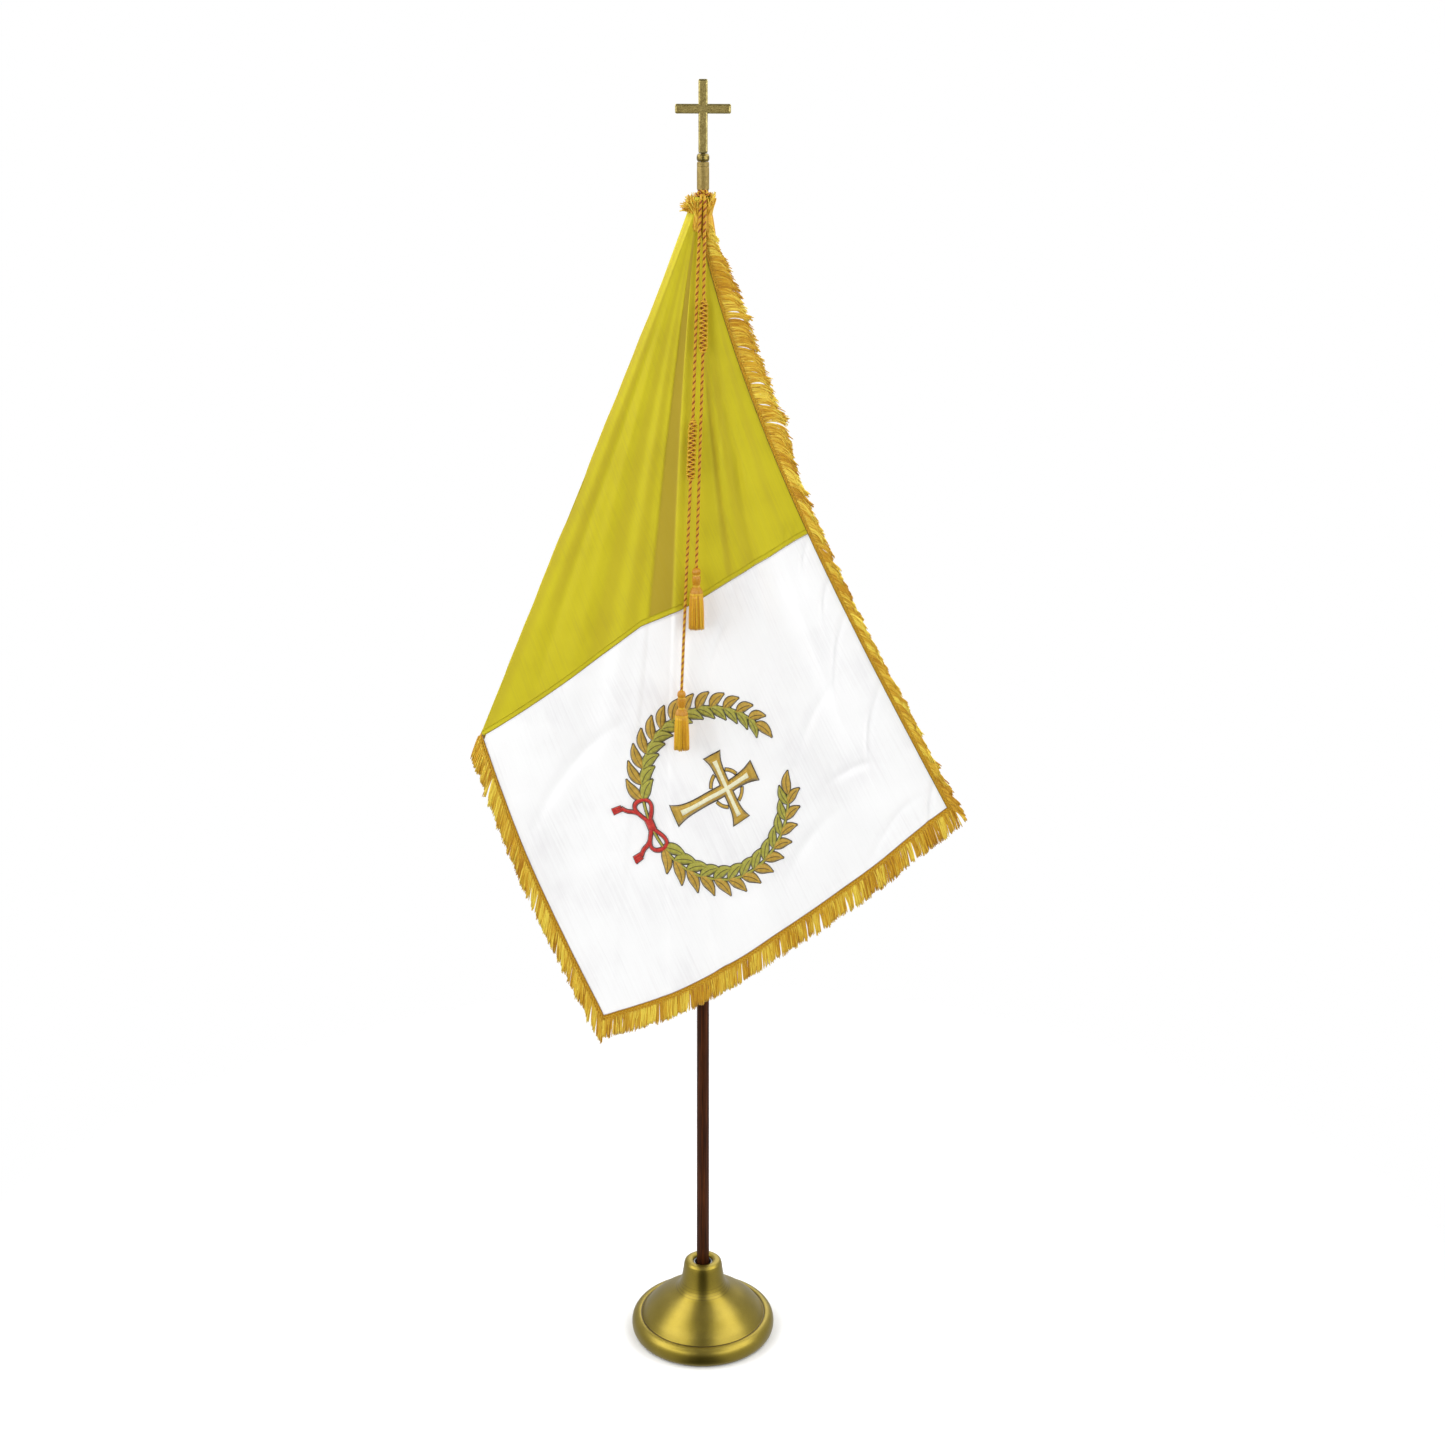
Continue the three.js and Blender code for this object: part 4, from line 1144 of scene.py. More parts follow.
STRAND_STEPS, STRAND_SIDES = 6, 4


def strands(root, heading, length, droop, radius):
    """Soft strands that set out along their headings and turn down under their own weight."""
    points = [root]
    for k in range(STRAND_STEPS):
        weight = (droop * (k + 1) / STRAND_STEPS)[:, None]
        way = unit(heading * (1 - weight) + DOWN * weight)
        points.append(points[-1] + way * (length / STRAND_STEPS)[:, None])
    paths = np.stack(points, axis=1)
    swell = np.array([0.8] + [1.0] * (STRAND_STEPS - 1) + [0.62])
    return tubes(paths, radius[:, None] * swell, STRAND_SIDES, (0.03, 1, 0.02))


# name: strands per layer, fringe length, droop, width of a tuft, seed
FRINGES = {
    "top": {"count": 900, "reach": 0.042, "droop": 0.55, "tuft": 0.026, "seed": 5},
    "fly": {"count": 480, "reach": 0.045, "droop": 0.34, "tuft": 0.014, "seed": 6},
    "bottom": {"count": 700, "reach": 0.050, "droop": 0.25, "tuft": 0.018, "seed": 7},
}
# How full the top edge's fringe hangs: share of the edge, and share of the full length
TOP_FULLNESS = [(0.0, 0.62), (0.05, 0.80), (0.11, 1.14), (0.20, 1.20), (0.31, 1.16), (0.42, 0.98),
                (0.70, 0.90),
                (1.0, 0.92)]
FRINGE_LAYERS = 3
# Ways the top edge's strands set out: at the crown, below it, half way down and at the far end
TOP_WAYS = np.array([[0.85, -0.10, -0.30], [0.95, -0.12, 0.26], [0.90, -0.12, -0.18], [0.85, -0.12, -0.30]])


def strand_headings(kind, s, u, v):
    """The way each strand sets out from its edge."""
    angle = np.arctan2(v, u)
    distance = np.hypot(u, v)
    outward = unit(cloth_point(angle, distance) - cloth_point(angle, distance - 0.02))
    if kind != "top":
        return outward
    crown_side = mix(TOP_WAYS[0], TOP_WAYS[1], smooth(s, 0.0, 0.06)[:, None])
    lower = mix(TOP_WAYS[2], TOP_WAYS[3], s[:, None])
    return unit(mix(crown_side, lower, smooth(s, 0.28, 0.40)[:, None]))


def make_fringe(kind):
    """Layers of strands gathered into tufts along one edge."""
    spec = FRINGES[kind]
    rng = np.random.default_rng(spec["seed"])
    sets, tones = [], []
    edge_length = WIDTH if kind == "fly" else LENGTH
    cuts = [0.0]
    while cuts[-1] < 1:
        cuts.append(cuts[-1] + spec["tuft"] * rng.uniform(0.45, 1.6) / edge_length)
    cuts = np.array(cuts)
    tuft_lean = rng.uniform(-1, 1, len(cuts))
    tuft_length = rng.uniform(-1, 1, len(cuts))
    tuft_lift = rng.uniform(-1, 1, len(cuts))
    gathered = np.where(rng.uniform(0, 1, len(cuts)) > 0.66, 1.0, 0.12)
    glint = np.where(rng.uniform(0, 1, len(cuts)) > 0.74, 0.55, 0.0)
    count = spec["count"]
    for layer in range(FRINGE_LAYERS):
        s = np.clip((np.arange(count) + rng.uniform(0, 1, count)) / count, 0.0005, 0.9995)
        which = np.clip(np.searchsorted(cuts, s) - 1, 0, len(cuts) - 2)
        centre = (cuts[which] + cuts[which + 1]) / 2
        u, v, inward = edge_line(kind, s)
        root = lay(u + inward[0] * 0.003, v + inward[1] * 0.003, 0.0014 + (layer - 1) * 0.0012)
        heading = strand_headings(kind, s, u, v)
        further = lay(*edge_line(kind, np.minimum(s + 0.002, 1.0))[:2])
        ahead = unit(further - lay(*edge_line(kind, s - 0.0004)[:2]))
        pull = (centre - s) * edge_length / spec["reach"] * rng.uniform(0.25, 1.0, count)
        lean = pull * gathered[which] + 0.05 * tuft_lean[which] + 0.09 * rng.uniform(-1, 1, count)
        forward = 0.05 * (1 - layer) + 0.08 * tuft_lift[which] + 0.05 * rng.uniform(-1, 1, count)
        heading = unit(heading + ahead * lean[:, None] - forward[:, None] * np.array([0, 1, 0]))
        length = spec["reach"] * (0.95 + 0.06 * tuft_length[which] + 0.07 * rng.uniform(-1, 1, count))
        if kind == "top":
            length = length * np.interp(s, *zip(*TOP_FULLNESS))
        droop = spec["droop"] * (1 + 0.14 * tuft_lean[which] + 0.22 * rng.uniform(-1, 1, count))
        sets.append(strands(root, heading, length, droop, rng.uniform(0.00085, 0.00125, count)))
        # Painted highlights: a few strands are made pale, and more in the tufts given a glint
        tone = np.clip(0.45 + 0.22 * tuft_lift[which] + 0.33 * rng.uniform(-1, 1, count)
                       + 0.5 * (rng.uniform(0, 1, count) > 0.92)
                       + glint[which] * (rng.uniform(0, 1, count) > 0.45), 0, 1)
        tones.append(np.repeat(tone, (STRAND_STEPS + 1) * STRAND_SIDES))
    return thread_piece(f"fringe_{kind}_strands", sets, np.concatenate(tones), FRINGE, "gold_fringe",
                        stands_for=[f"fringe_{kind}"])


# Tufts of the crown: bearing in degrees (270 faces the front), spread, height of the tips, flare, droop
CROWN_TUFTS = [
    (186, 18, 0.032, 0.0190, 0.010), (205, 14, 0.037, 0.0150, 0.005), (168, 14, 0.038, 0.0130, 0.003),
    (222, 14, 0.037, 0.0100, 0.0), (234, 12, 0.030, 0.0060, 0.0), (262, 12, 0.022, 0.0030, 0.0),
    (282, 12, 0.022, 0.0030, 0.0), (318, 14, 0.038, 0.0055, 0.0), (352, 18, 0.043, 0.0060, 0.0),
    (20, 16, 0.041, 0.0080, 0.0), (50, 18, 0.042, 0.0060, 0.002), (85, 20, 0.042, 0.0080, 0.004),
    (120, 20, 0.040, 0.0090, 0.003), (148, 16, 0.041, 0.0080, 0.0), (245, 14, 0.024, 0.0060, 0.0),
    (296, 14, 0.025, 0.0050, 0.0),
]
CROWN_MIDDLE = (-0.002, -0.0085)
CROWN_DEPTH = 1.22
CROWN_NECK_Z = 2.3605
CROWN_STEPS = 8
CROWN_HANGING = 300


def crown_ring(out, turn, z):
    """Points round the crown's middle, which is deeper than it is wide."""
    x = CROWN_MIDDLE[0] + out * np.cos(turn)
    y = CROWN_MIDDLE[1] + CROWN_DEPTH * out * np.sin(turn)
    return np.stack([x, y, z], axis=-1)


def make_crown():
    """The fringe's end, gathered round the top of the sleeve: tufts that flare up, and a skirt below."""
    rng = np.random.default_rng(21)
    paths, widths, tones = [], [], []
    steps = np.linspace(0, 1, CROWN_STEPS)[None, :]
    for bearing, spread, rise, flare, droop in CROWN_TUFTS:
        count = int(26 * (0.6 + spread / 20))
        turn = np.radians(bearing + spread * rng.uniform(-1, 1, count))[:, None]
        layer = rng.uniform(0, 1, (count, 1))
        reach = rise * rng.uniform(0.74, 1.06, (count, 1))
        out = 0.0162 + 0.0022 * layer + flare * rng.uniform(0.45, 1.3, (count, 1)) * steps ** 2
        curl = turn + 0.34 * rng.uniform(-1, 1, (count, 1)) * steps ** 2
        fall = droop * rng.uniform(0.6, 1.2, (count, 1)) * steps ** 4
        root = CROWN_NECK_Z + 0.004 * rng.uniform(-1, 1, (count, 1))
        paths.append(crown_ring(out, curl, root + reach * steps - fall))
        swell = np.array([[0.9] + [1.0] * (CROWN_STEPS - 2) + [0.7]])
        widths.append(rng.uniform(0.0009, 0.0013, (count, 1)) * swell)
        tones.append(np.repeat(rng.uniform(0.1, 1, count), CROWN_STEPS * STRAND_SIDES))
    upper = tubes(np.concatenate(paths), np.concatenate(widths), STRAND_SIDES, (0.9, 0.43, 0.02))
    count = CROWN_HANGING
    turn = rng.uniform(0, TAU, count)
    start = crown_ring(0.0182, turn, CROWN_NECK_Z + 0.006 + 0.005 * rng.uniform(-1, 1, count))
    heading = unit(np.stack([0.20 * np.cos(turn), 0.20 * np.sin(turn), 0 * turn - 1.0], axis=-1))
    length = 0.018 + 0.026 * np.maximum(np.cos(turn), 0) + 0.010 * rng.uniform(0, 1, count)
    lower = strands(start, heading, length, 0.4 * np.ones(count), rng.uniform(0.0009, 0.0012, count))
    tones.append(np.repeat(rng.uniform(0.1, 0.8, count), (STRAND_STEPS + 1) * STRAND_SIDES))
    return thread_piece("fringe_crown", [upper, lower], np.concatenate(tones), FRINGE, "gold_fringe")


SLEEVE_ROWS, SLEEVE_SIDES = 170, 64
SLEEVE_CLOTH = 0.0011
SLEEVE_HEM = 0.0004
SLEEVE_STITCH_PITCH = 0.0036


def make_sleeve():
    """The pole sleeve: a sewn tube, a little slack, with a row of stitches and hemmed ends."""
    z = np.linspace(SLEEVE_LOW.z, SLEEVE_HIGH.z, SLEEVE_ROWS)[:, None]
    turn = np.arange(SLEEVE_SIDES)[None, :] / SLEEVE_SIDES * TAU
    ripple = (0.35 * np.sin(3 * turn + 9 * z) * np.sin(21 * z + turn) + 0.25 * np.sin(5 * turn - 31 * z)) * MM
    hem = 1 - smooth(z - SLEEVE_LOW.z, 0.010, 0.012) + smooth(z - SLEEVE_HIGH.z, -0.012, -0.010)
    outer = SLEEVE_HIGH.x - 0.0003 + ripple + SLEEVE_HEM * hem
    walls = []
    for r in (outer, outer - SLEEVE_CLOTH):
        walls.append(np.stack([r * np.cos(turn), r * np.sin(turn), z + 0 * turn], axis=-1))
    index = np.arange(SLEEVE_ROWS * SLEEVE_SIDES).reshape(SLEEVE_ROWS, SLEEVE_SIDES)
    beside = np.roll(index, -1, axis=1)
    half = index.size
    outside = ring_walls(index)
    top = np.stack([index[-1], beside[-1], beside[-1] + half, index[-1] + half], axis=-1)
    foot = np.stack([index[0] + half, beside[0] + half, beside[0], index[0]], axis=-1)
    quads = np.concatenate([outside, outside[:, ::-1] + half, top, foot])
    uv = np.stack([turn * 0.0154 + 0 * z, z + 0 * turn], axis=-1).reshape(-1, 2)
    mesh = quad_mesh("flag_sleeve_cloth", np.stack(walls), quads, uv=np.concatenate([uv] * 2))
    sleeve = add_piece("flag_sleeve_cloth", mesh, YELLOW, "upper_section", ["flag_sleeve"])
    centres = np.arange(SLEEVE_LOW.z + 0.004, SLEEVE_HIGH.z - 0.004, SLEEVE_STITCH_PITCH)
    heights = centres[:, None] + np.array([-0.0012, -0.0004, 0.0004, 0.0012])[None, :]
    r = SLEEVE_HIGH.x + np.array([0.0, 0.0005, 0.0005, 0.0])[None, :] + 0 * heights
    sets = []
    for bearing in (math.radians(168), math.radians(150)):
        paths = np.stack([r * math.cos(bearing), r * math.sin(bearing), heights], axis=-1)
        sets.append(tubes(paths, 0.0003, 4, (1, 0, 0)))
    stitches = thread_piece("flag_sleeve_stitches", sets, 0.4, SEAM_AND_SHADE_THREAD, "gold_cord")


# ---------------------------------------------------------------- emblem

EMBLEM_U = 0.978
EMBLEM_V = 0.428


def satin(spine, half_width, rise, lift):
    """A raised embroidered shape: spine (k, 2) in emblem metres, +y towards the flag's top edge."""
    spine = np.asarray(spine, float)
    along = unit(np.gradient(spine, axis=0))
    aside = np.stack([-along[:, 1], along[:, 0]], axis=-1)
    t = np.array([-1.0, -0.5, 0.5, 1.0])
    flat = spine[:, None, :] + aside[:, None, :] * (np.asarray(half_width)[:, None, None] * t[None, :, None])
    height = lift + rise * np.array([0.0, 1.0, 1.0, 0.0])[None, :] + 0 * flat[..., 0]
    top = lay(EMBLEM_U + flat[..., 0], EMBLEM_V - flat[..., 1], height)
    rows = len(spine)
    index = np.arange(rows * 4).reshape(rows, 4)
    faces = []
    for c in range(3):
        faces.append(np.stack([index[:-1, c], index[1:, c], index[1:, c + 1], index[:-1, c + 1]], axis=-1))
    faces.append(np.stack([index[:-1, 3], index[1:, 3], index[1:, 0], index[:-1, 0]], axis=-1))
    faces.append(index[:1, ::1])
    faces.append(index[-1:, ::-1])
    length = np.concatenate([[0], np.cumsum(np.linalg.norm(np.diff(spine, axis=0), axis=1))])
    uv = np.stack([length[:, None] + 0 * t, half_width[:, None] * t[None, :]], axis=-1)
    return top.reshape(-1, 3), np.concatenate(faces), uv.reshape(-1, 2)


class Emblem:
    """Embroidered shapes by thread, each with a dark outline under it."""

    def __init__(self):
        self.shapes = {}

    def add(self, thread_name, spine, half_width, rise=0.0016, outline=0.0017, level=0.0):
        spine = np.asarray(spine, float)
        half_width = np.broadcast_to(np.asarray(half_width, float), (len(spine),))
        self.shapes.setdefault(thread_name, []).append(satin(spine, half_width, rise, 0.0010 + level))
        if outline:
            ends = unit(spine[-1] - spine[-2]), unit(spine[0] - spine[1])
            wider = spine.copy()
            wider[0] += ends[1] * outline
            wider[-1] += ends[0] * outline
            dark = satin(wider, half_width + outline, 0.0008, 0.0006 + level)
            self.shapes.setdefault("dark", []).append(dark)

    def build(self):
        pieces = []
        threads = {"gold": GOLD_STITCH, "olive": OLIVE_STITCH, "dark": DARK_STITCH, "red": RED_STITCH,
                   "cream": CREAM_STITCH}
        for name, shapes in self.shapes.items():
            points, quads = gather(*[(p, q) for p, q, _ in shapes])
            uv = np.concatenate([each for _, _, each in shapes])
            mesh = quad_mesh(f"emblem_{name}_stitching", points, quads, uv=uv)
            stands_for = ["flag_emblem"] if name == "gold" else []
            pieces.append(add_piece(mesh.name, mesh, threads[name], "upper_section",
                                    stands_for))
        return pieces


def arc(radius, start, stop, count, centre=(0, 0)):
    a = np.radians(np.linspace(start, stop, count))
    return np.stack([centre[0] + radius * np.cos(a), centre[1] + radius * np.sin(a)], axis=-1)


def leaf(emblem, thread_name, root, heading, size, level):
    """A pointed leaf with a dark middle vein."""
    t = np.linspace(0, 1, 12)
    way = np.array([math.cos(heading), math.sin(heading)])
    aside = np.array([-way[1], way[0]])
    bow = 0.10 * size * np.sin(math.pi * t)
    spine = np.asarray(root) + way * (size * t)[:, None] + aside * bow[:, None]
    width = 0.0004 + 0.21 * size * np.sin(math.pi * t ** 0.8) ** 0.9
    emblem.add(thread_name, spine, width, 0.0018, 0.0015, level)
    vein = spine[1:-2]
    emblem.shapes["dark"].append(satin(vein, np.full(len(vein), 0.0006), 0.0006, 0.0027 + level))


WREATH = 0.158
WREATH_END = 62
WREATH_LEAVES = 13
LEAF_LEAN = 0.62


def wreath_leaf(emblem, thread_name, side, bearing, heading, size):
    """A leaf of the wreath's right branch, or its mirror image for side -1."""
    root = np.array([side * WREATH * math.cos(bearing), WREATH * math.sin(bearing)])
    leaf(emblem, thread_name, root, heading if side > 0 else math.pi - heading, size, 0.0004)


def make_emblem():
    """A plain cross inside an open wreath of leaves, tied at the foot with a red cord."""
    emblem = Emblem()
    for side in (1, -1):
        branch = arc(WREATH, -88, WREATH_END, 60)
        branch[:, 0] *= side
        emblem.add("olive", branch, 0.0026, 0.0014, 0.0012)
        for k in range(WREATH_LEAVES):
            bearing = math.radians(-74 + 10.8 * k)
            for lean, thread_name in ((LEAF_LEAN, "gold"), (-LEAF_LEAN, "olive")):
                heading = bearing + math.pi / 2 - lean
                wreath_leaf(emblem, thread_name, side, bearing, heading, 0.047 - 0.0007 * k)
        tip = math.radians(WREATH_END)
        wreath_leaf(emblem, "gold", side, tip, tip + math.pi / 2, 0.044)
    t = np.linspace(-1, 1, 25)
    flare = 0.0095 + 0.010 * np.abs(t) ** 5
    upright = np.stack([0 * t, mix(-0.098, 0.098, (t + 1) / 2) - 0.004], axis=-1)
    arms = np.stack([0.066 * t, 0 * t + 0.024], axis=-1)
    emblem.add("gold", upright, flare, 0.0024, 0.0020, 0.0004)
    emblem.add("gold", arms, flare, 0.0024, 0.0020, 0.0005)
    inner = flare[2:-2] * 0.45
    emblem.add("cream", upright[2:-2], inner, 0.0008, 0.0, 0.0026)
    emblem.add("cream", arms[2:-2], inner, 0.0008, 0.0, 0.0027)
    for quarter in range(4):
        start = 90 * quarter + 24
        emblem.add("gold", arc(0.034, start, start + 42, 14, (0, 0.024)), 0.0028, 0.0016, 0.0013)
    for side in (1, -1):
        s = np.linspace(0, 1, 30)
        across = side * (0.006 + 0.040 * np.sin(math.pi * s))
        loop = np.stack([across, -WREATH - 0.018 * np.sin(TAU * s)], axis=-1)
        emblem.add("red", loop, 0.0036, 0.0020, 0.0012, 0.0012)
        tail = np.stack([side * (0.004 + 0.046 * s + 0.006 * np.sin(5 * s)), -0.160 - 0.042 * s], axis=-1)
        emblem.add("red", tail, 0.0034, 0.0020, 0.0012, 0.0010)
        end = tail[-1]
        for k in range(3):
            drop = np.stack([end[0] + side * (0.004 * (k - 1) + 0.004 * s), end[1] - 0.018 * s], axis=-1)
            emblem.add("red", drop, 0.0020 + 0.0008 * s, 0.0016, 0.0009, 0.0008)
    knot = np.stack([np.linspace(-0.009, 0.009, 8), np.full(8, -WREATH)], axis=-1)
    emblem.add("red", knot, 0.0085, 0.0032, 0.0014, 0.0016)
    return emblem.build()


hoist_cloth, fly_cloth = make_panels()
seam_pieces = make_seam()
top_pieces = header("top", 420)
fly_pieces = header("fly", 300)
bottom_pieces = header("bottom", 560)
top_pieces += [make_fringe("top"), make_crown()]
fly_pieces.append(make_fringe("fly"))
bottom_pieces.append(make_fringe("bottom"))
emblem_pieces = make_emblem()
make_sleeve()


# ---------------------------------------------------------------- stand, pole and finial

turned("base_shell", BRASS, "stand", 256, 6)
turned("base_weight", IRON, "stand", 96, 3)
turned("socket_tube", STEEL, "stand", 96, 2)
turned("bottom_plate", STEEL, "stand", 128, 2)
turned("felt_pad", FELT, "stand", 128, 2)
turned("socket_washer", STEEL, "stand", 64, 2)
turned("neck_liner", STEEL, "stand", 96, 2)
turned("reducer_bush", PLASTIC, "bush", 96, 2)
turned("lower_pole", WOOD, "lower_section", 96, 2)
turned("pole_foot", BRASS, "lower_section", 96, 3)
turned("joint_ferrule_lower", BRASS, "lower_section", 96, 3)
turned("upper_pole", WOOD, "upper_section", 96, 2)
turned("joint_ferrule_upper", BRASS, "upper_section", 96, 3)
turned("finial_ferrule", FERRULE_BRASS, "upper_section", 96, 4)
turned("finial_collar", COLLAR_BRASS, "collar", 96, 6)
threaded("joint_stud", STEEL, "stud", 0.003, 0.0009)
threaded("finial_spindle", STEEL, "finial", 0.001, 0.0004, 32, 6)


def dress(node, material, bevel=0.0002):
    """A CAD node that stays: its finish, and a small round on its edges."""
    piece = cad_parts[node]
    piece.data.materials.clear()
    piece.data.materials.append(material)
    modifier = piece.modifiers.new("edges", "BEVEL")
    modifier.width = bevel
    modifier.segments = 2


dress("socket_nut", STEEL)
for place in ("top", "bottom"):
    dress("tab_" + place, LEATHER, 0.00015)
    dress("tab_screw_" + place, BRASS, 0.0001)


CROSS_BAR = 0.0170
CROSS_ARM_Z = 2.5535
# From the sunk field out to the edge: inset from the outline in mm, and depth below the rim
CROSS_LAYERS = [(2.7, 0.0007), (2.2, 0.0001), (1.0, 0.0), (0.3, 0.0005), (0.0, 0.0013)]
# Corners of the outline at the arm ends, and how they are rounded
END_CORNERS = (0, 1, 3, 4, 6, 7, 9, 10)
CORNER_STEPS = 5
CORNER_REACH = 0.0034


def rounded(corners):
    """The cross's outline with its arm ends rounded."""
    made = []
    for i, here in enumerate(corners):
        if i not in END_CORNERS:
            made.append(here)
            continue
        here = np.array(here)
        before, after = (np.array(corners[k % len(corners)]) for k in (i - 1, i + 1))
        start = here + unit(before - here) * CORNER_REACH
        end = here + unit(after - here) * CORNER_REACH
        for t in np.linspace(0, 1, CORNER_STEPS):
            made.append(tuple((1 - t) ** 2 * start + 2 * t * (1 - t) * here + t * t * end))
    return made


def make_cross():
    """The cross: rounded edges and ends, and a slightly hammered field inside a bright rim on both faces."""
    low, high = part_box("finial_cross")

    def outline(inset):
        b, r = CROSS_BAR / 2 - inset, high.x - inset
        foot, top = low.z + inset, high.z - inset
        under, over = CROSS_ARM_Z - b, CROSS_ARM_Z + b
        return rounded([(-b, foot), (b, foot), (b, under), (r, under), (r, over), (b, over),
                        (b, top), (-b, top), (-b, over), (-r, over), (-r, under), (-b, under)])

    layers = [(inset * MM, high.y - drop) for inset, drop in CROSS_LAYERS]
    rings = [(inset, -y) for inset, y in layers] + [(inset, y) for inset, y in reversed(layers)]
    points, faces, tags = [], [], []
    corner_count = len(outline(0.0))
    for inset, y in rings:
        points += [(x, y, z) for x, z in outline(inset)]
    for ring in range(len(rings) - 1):
        a, b = ring * corner_count, (ring + 1) * corner_count
        for k in range(corner_count):
            n = (k + 1) % corner_count
            faces.append((a + k, b + k, b + n, a + n))
            tags.append(0)
    groups, start = [], 0
    for corner in range(12):
        size = CORNER_STEPS if corner in END_CORNERS else 1
        groups.append(list(range(start, start + size)))
        start += size
    for first, flip in ((0, False), ((len(rings) - 1) * corner_count, True)):
        for corners in ((0, 1, 2, 11), (11, 2, 5, 8), (2, 3, 4, 5), (5, 6, 7, 8), (8, 9, 10, 11)):
            face = [first + place for c in corners for place in groups[c]]
            faces.append(tuple(face[::-1] if flip else face))
            tags.append(1)
    mesh = bpy.data.meshes.new("finial_cross_surface")
    mesh.from_pydata(points, [], faces)
    mesh.polygons.foreach_set("material_index", tags)
    mesh.polygons.foreach_set("use_smooth", [True] * len(faces))
    mesh.set_sharp_from_angle(angle=math.radians(30))
    piece = add_piece("finial_cross_surface", mesh, [ANTIQUE_RIM, ANTIQUE], "finial",
                      ["finial_cross"])
    bevel = piece.modifiers.new("edges", "BEVEL")
    bevel.width = 0.0007
    bevel.segments = 3
    return piece


make_cross()


# ---------------------------------------------------------------- floor and light

FLOOR_RADIUS = 7.0
FLOOR_RINGS, FLOOR_SEGMENTS = 24, 96
# How much of the floor shows: share of its radius, and strength
FLOOR_FADE = ((0.09, 1.0), (0.26, 0.0))


def make_floor():
    """A pale floor that fades out far from the stand and does not show in reflections."""
    points = [(0, 0, 0)]
    for i in range(1, FLOOR_RINGS + 1):
        r = FLOOR_RADIUS * (i / FLOOR_RINGS) ** 1.5
        turns = [TAU * k / FLOOR_SEGMENTS for k in range(FLOOR_SEGMENTS)]
        points += [(r * math.cos(a), r * math.sin(a), 0) for a in turns]
    faces = [(0, 1 + k, 1 + (k + 1) % FLOOR_SEGMENTS) for k in range(FLOOR_SEGMENTS)]
    for i in range(FLOOR_RINGS - 1):
        a, b = 1 + i * FLOOR_SEGMENTS, 1 + (i + 1) * FLOOR_SEGMENTS
        for k in range(FLOOR_SEGMENTS):
            n = (k + 1) % FLOOR_SEGMENTS
            faces.append((a + k, b + k, b + n, a + n))
    mesh = bpy.data.meshes.new("floor")
    mesh.from_pydata(points, [], faces)
    floor = bpy.data.objects.new("floor", mesh)
    floor.location.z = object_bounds()[0].z - 0.0004
    bpy.context.scene.collection.objects.link(floor)
    s = Shader("pale_floor", Roughness=0.9)
    color = s.ramp(s.noise(s.place(), 3, 3), (0.3, 0.93), (0.7, 0.96))
    s.feed(s.surface, "Base Color", color)
    distance = s.node("VectorMath", Vector=s.node("TexCoord").outputs["Object"])
    distance.operation = "LENGTH"
    fade = s.ramp(s.math("DIVIDE", distance.outputs["Value"], FLOOR_RADIUS), *FLOOR_FADE)
    clear = s.node("BsdfTransparent")
    mixer = s.node("MixShader", Fac=fade)
    s.tree.links.new(clear.outputs[0], mixer.inputs[1])
    s.tree.links.new(s.surface.outputs[0], mixer.inputs[2])
    s.tree.links.new(mixer.outputs[0], s.tree.nodes["Material Output"].inputs["Surface"])
    mesh.materials.append(s.material)
    floor.visible_glossy = False


def soft_light(name, at, aim, size, power):
    data = bpy.data.lights.new(name, "AREA")
    data.shape = "RECTANGLE"
    data.size, data.size_y = size
    data.energy = power
    lamp = bpy.data.objects.new(name, data)
    lamp.location = at
    lamp.rotation_euler = (Vector(aim) - Vector(at)).to_track_quat("-Z", "Y").to_euler()
    bpy.context.scene.collection.objects.link(lamp)


# Brightness of the room by direction: a dark gap in front, deepest low down, and a dimmer ceiling
ROOM_LEVEL = 0.56
GAP_FORWARD = [(0.20, 0.0), (0.45, 1.0)]
GAP_SIDEWAYS = [(0.32, 1.0), (0.54, 0.0)]
GAP_DEPTH = 0.94
GAP_LOW = [(0.05, 1.0), (0.45, 0.48)]
CEILING_DIM = [(0.70, 1.0), (0.96, 0.45)]
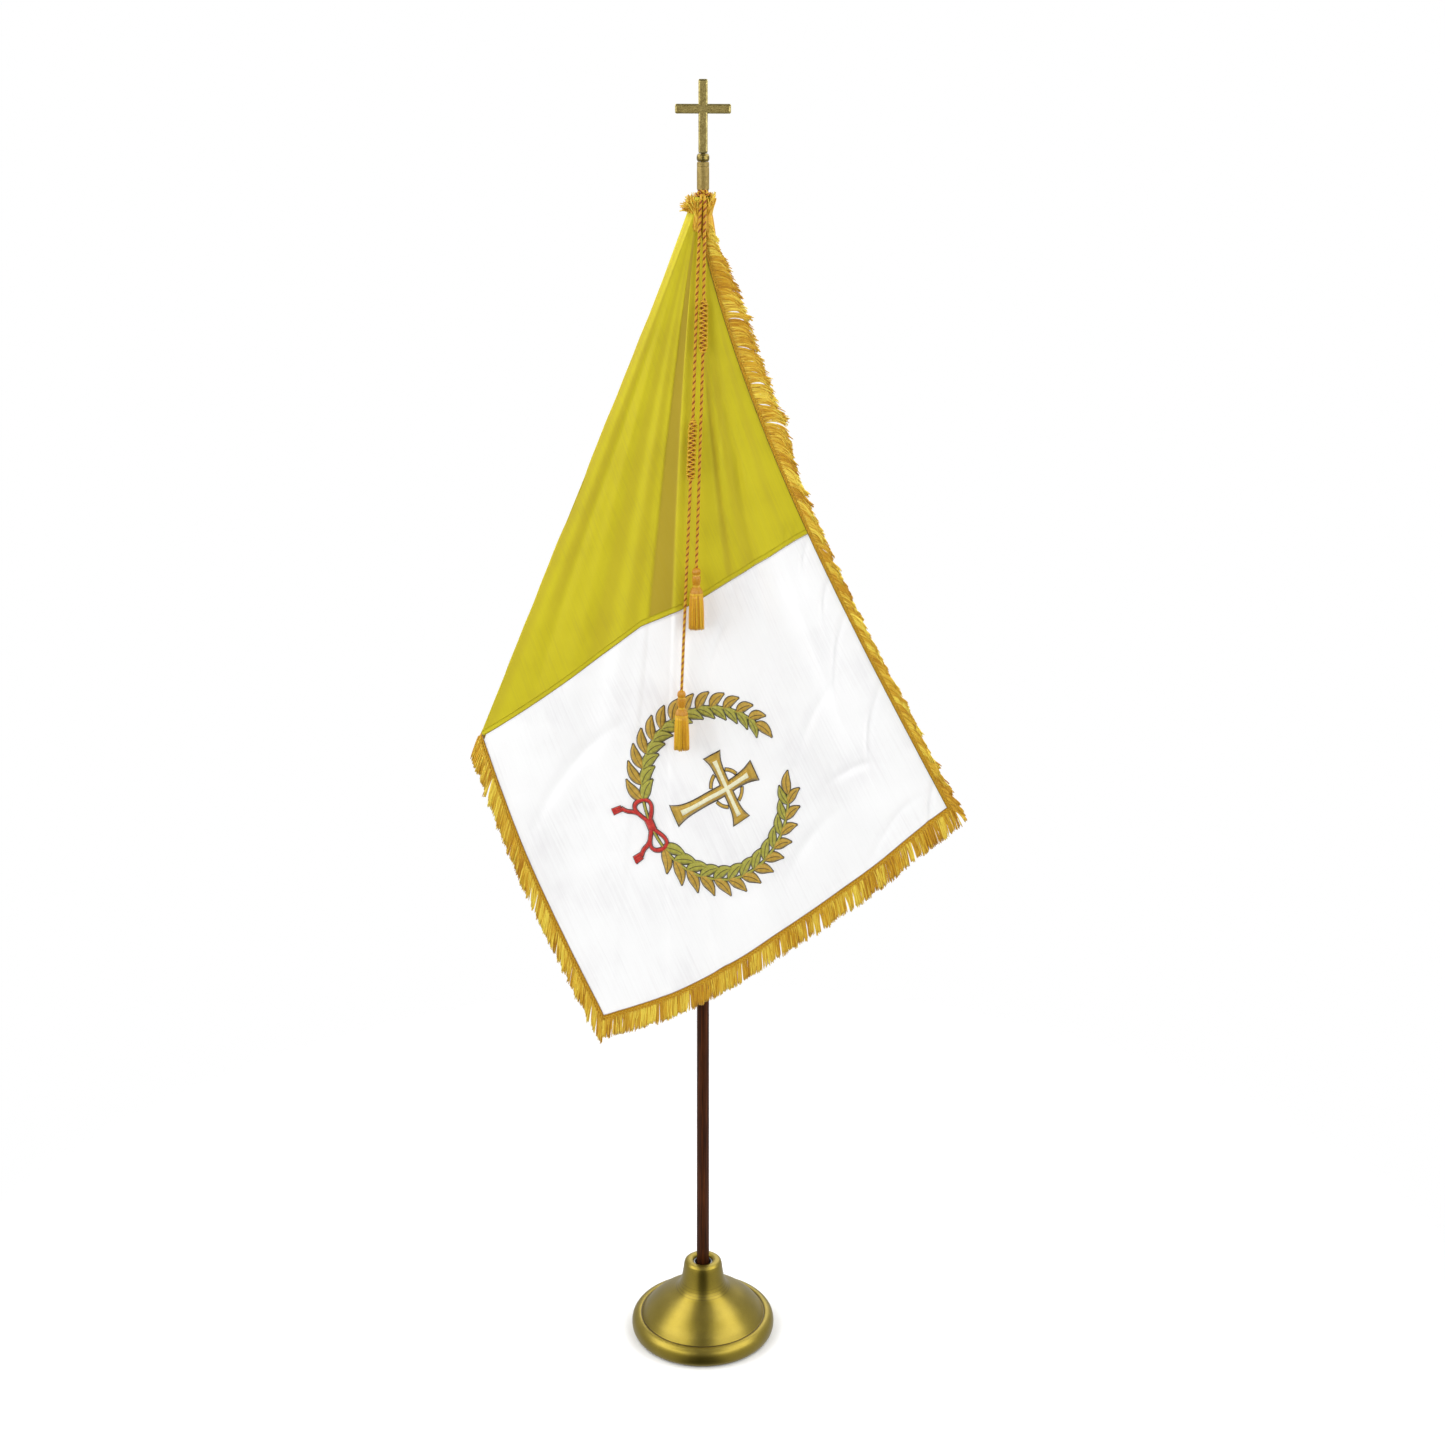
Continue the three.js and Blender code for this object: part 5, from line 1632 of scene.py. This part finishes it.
# Soft boxes: name, place, aim, size, power
SOFT_BOXES = [
    ("left_box", (-2.7, -1.9, 2.5), (0, 0, 0.9), (4.2, 2.6), 88),
    ("right_box", (2.7, -1.9, 2.5), (0, 0, 0.9), (4.2, 2.6), 80),
    ("left_ceiling_box", (-1.9, 0.5, 3.7), (0, 0, 0.2), (2.2, 2.0), 46),
    ("right_ceiling_box", (1.9, 0.5, 3.7), (0, 0, 0.2), (2.2, 2.0), 42),
    ("back_box", (0.6, 3.4, 2.6), (0, 0, 1.2), (2.4, 2.4), 30),
]


def make_light():
    """A pale room with a dark gap at the front, as a light tent has, and the soft boxes."""
    world = bpy.data.worlds.new("studio")
    bpy.context.scene.world = world
    world.use_nodes = True
    tree = world.node_tree
    tree.nodes.clear()

    def add(kind, **links):
        node = tree.nodes.new("ShaderNode" + kind)
        for socket, source in links.items():
            tree.links.new(source, node.inputs[int(socket[1:])])
        return node

    def ramp(source, stops):
        node = add("ValToRGB", _0=source)
        for element, (place, level) in zip(node.color_ramp.elements, stops):
            element.position = place
            element.color = (level, level, level, 1)
        return node.outputs[0]

    split = add("SeparateXYZ", _0=add("TexCoord").outputs["Generated"])

    def combine(how, first, second=0.0):
        node = add("Math", _0=first)
        node.operation = how
        if isinstance(second, bpy.types.NodeSocket):
            tree.links.new(second, node.inputs[1])
        else:
            node.inputs[1].default_value = second
        return node.outputs[0]

    forward = ramp(combine("MULTIPLY", split.outputs["Y"], -1.0), GAP_FORWARD)
    sideways = ramp(combine("ABSOLUTE", split.outputs["X"]), GAP_SIDEWAYS)
    gap = combine("MULTIPLY", combine("MULTIPLY", forward, sideways), ramp(split.outputs["Z"], GAP_LOW))
    gap = combine("MULTIPLY", gap, -GAP_DEPTH)
    ceiling = ramp(split.outputs["Z"], CEILING_DIM)
    dimming = combine("MULTIPLY", combine("ADD", gap, 1.0), ceiling)
    lit = add("Background", _0=dimming)
    lit.inputs["Strength"].default_value = ROOM_LEVEL
    seen = add("Background")
    seen.inputs["Color"].default_value = (1, 1, 1, 1)
    path = add("LightPath")
    choose = add("MixShader", _0=path.outputs["Is Camera Ray"], _1=lit.outputs[0], _2=seen.outputs[0])
    out = add("OutputWorld")
    tree.links.new(choose.outputs[0], out.inputs["Surface"])
    for box in SOFT_BOXES:
        soft_light(*box)


make_floor()
make_light()
bpy.context.scene.view_settings.view_transform = "Standard"
bpy.context.scene.view_settings.look = "None"
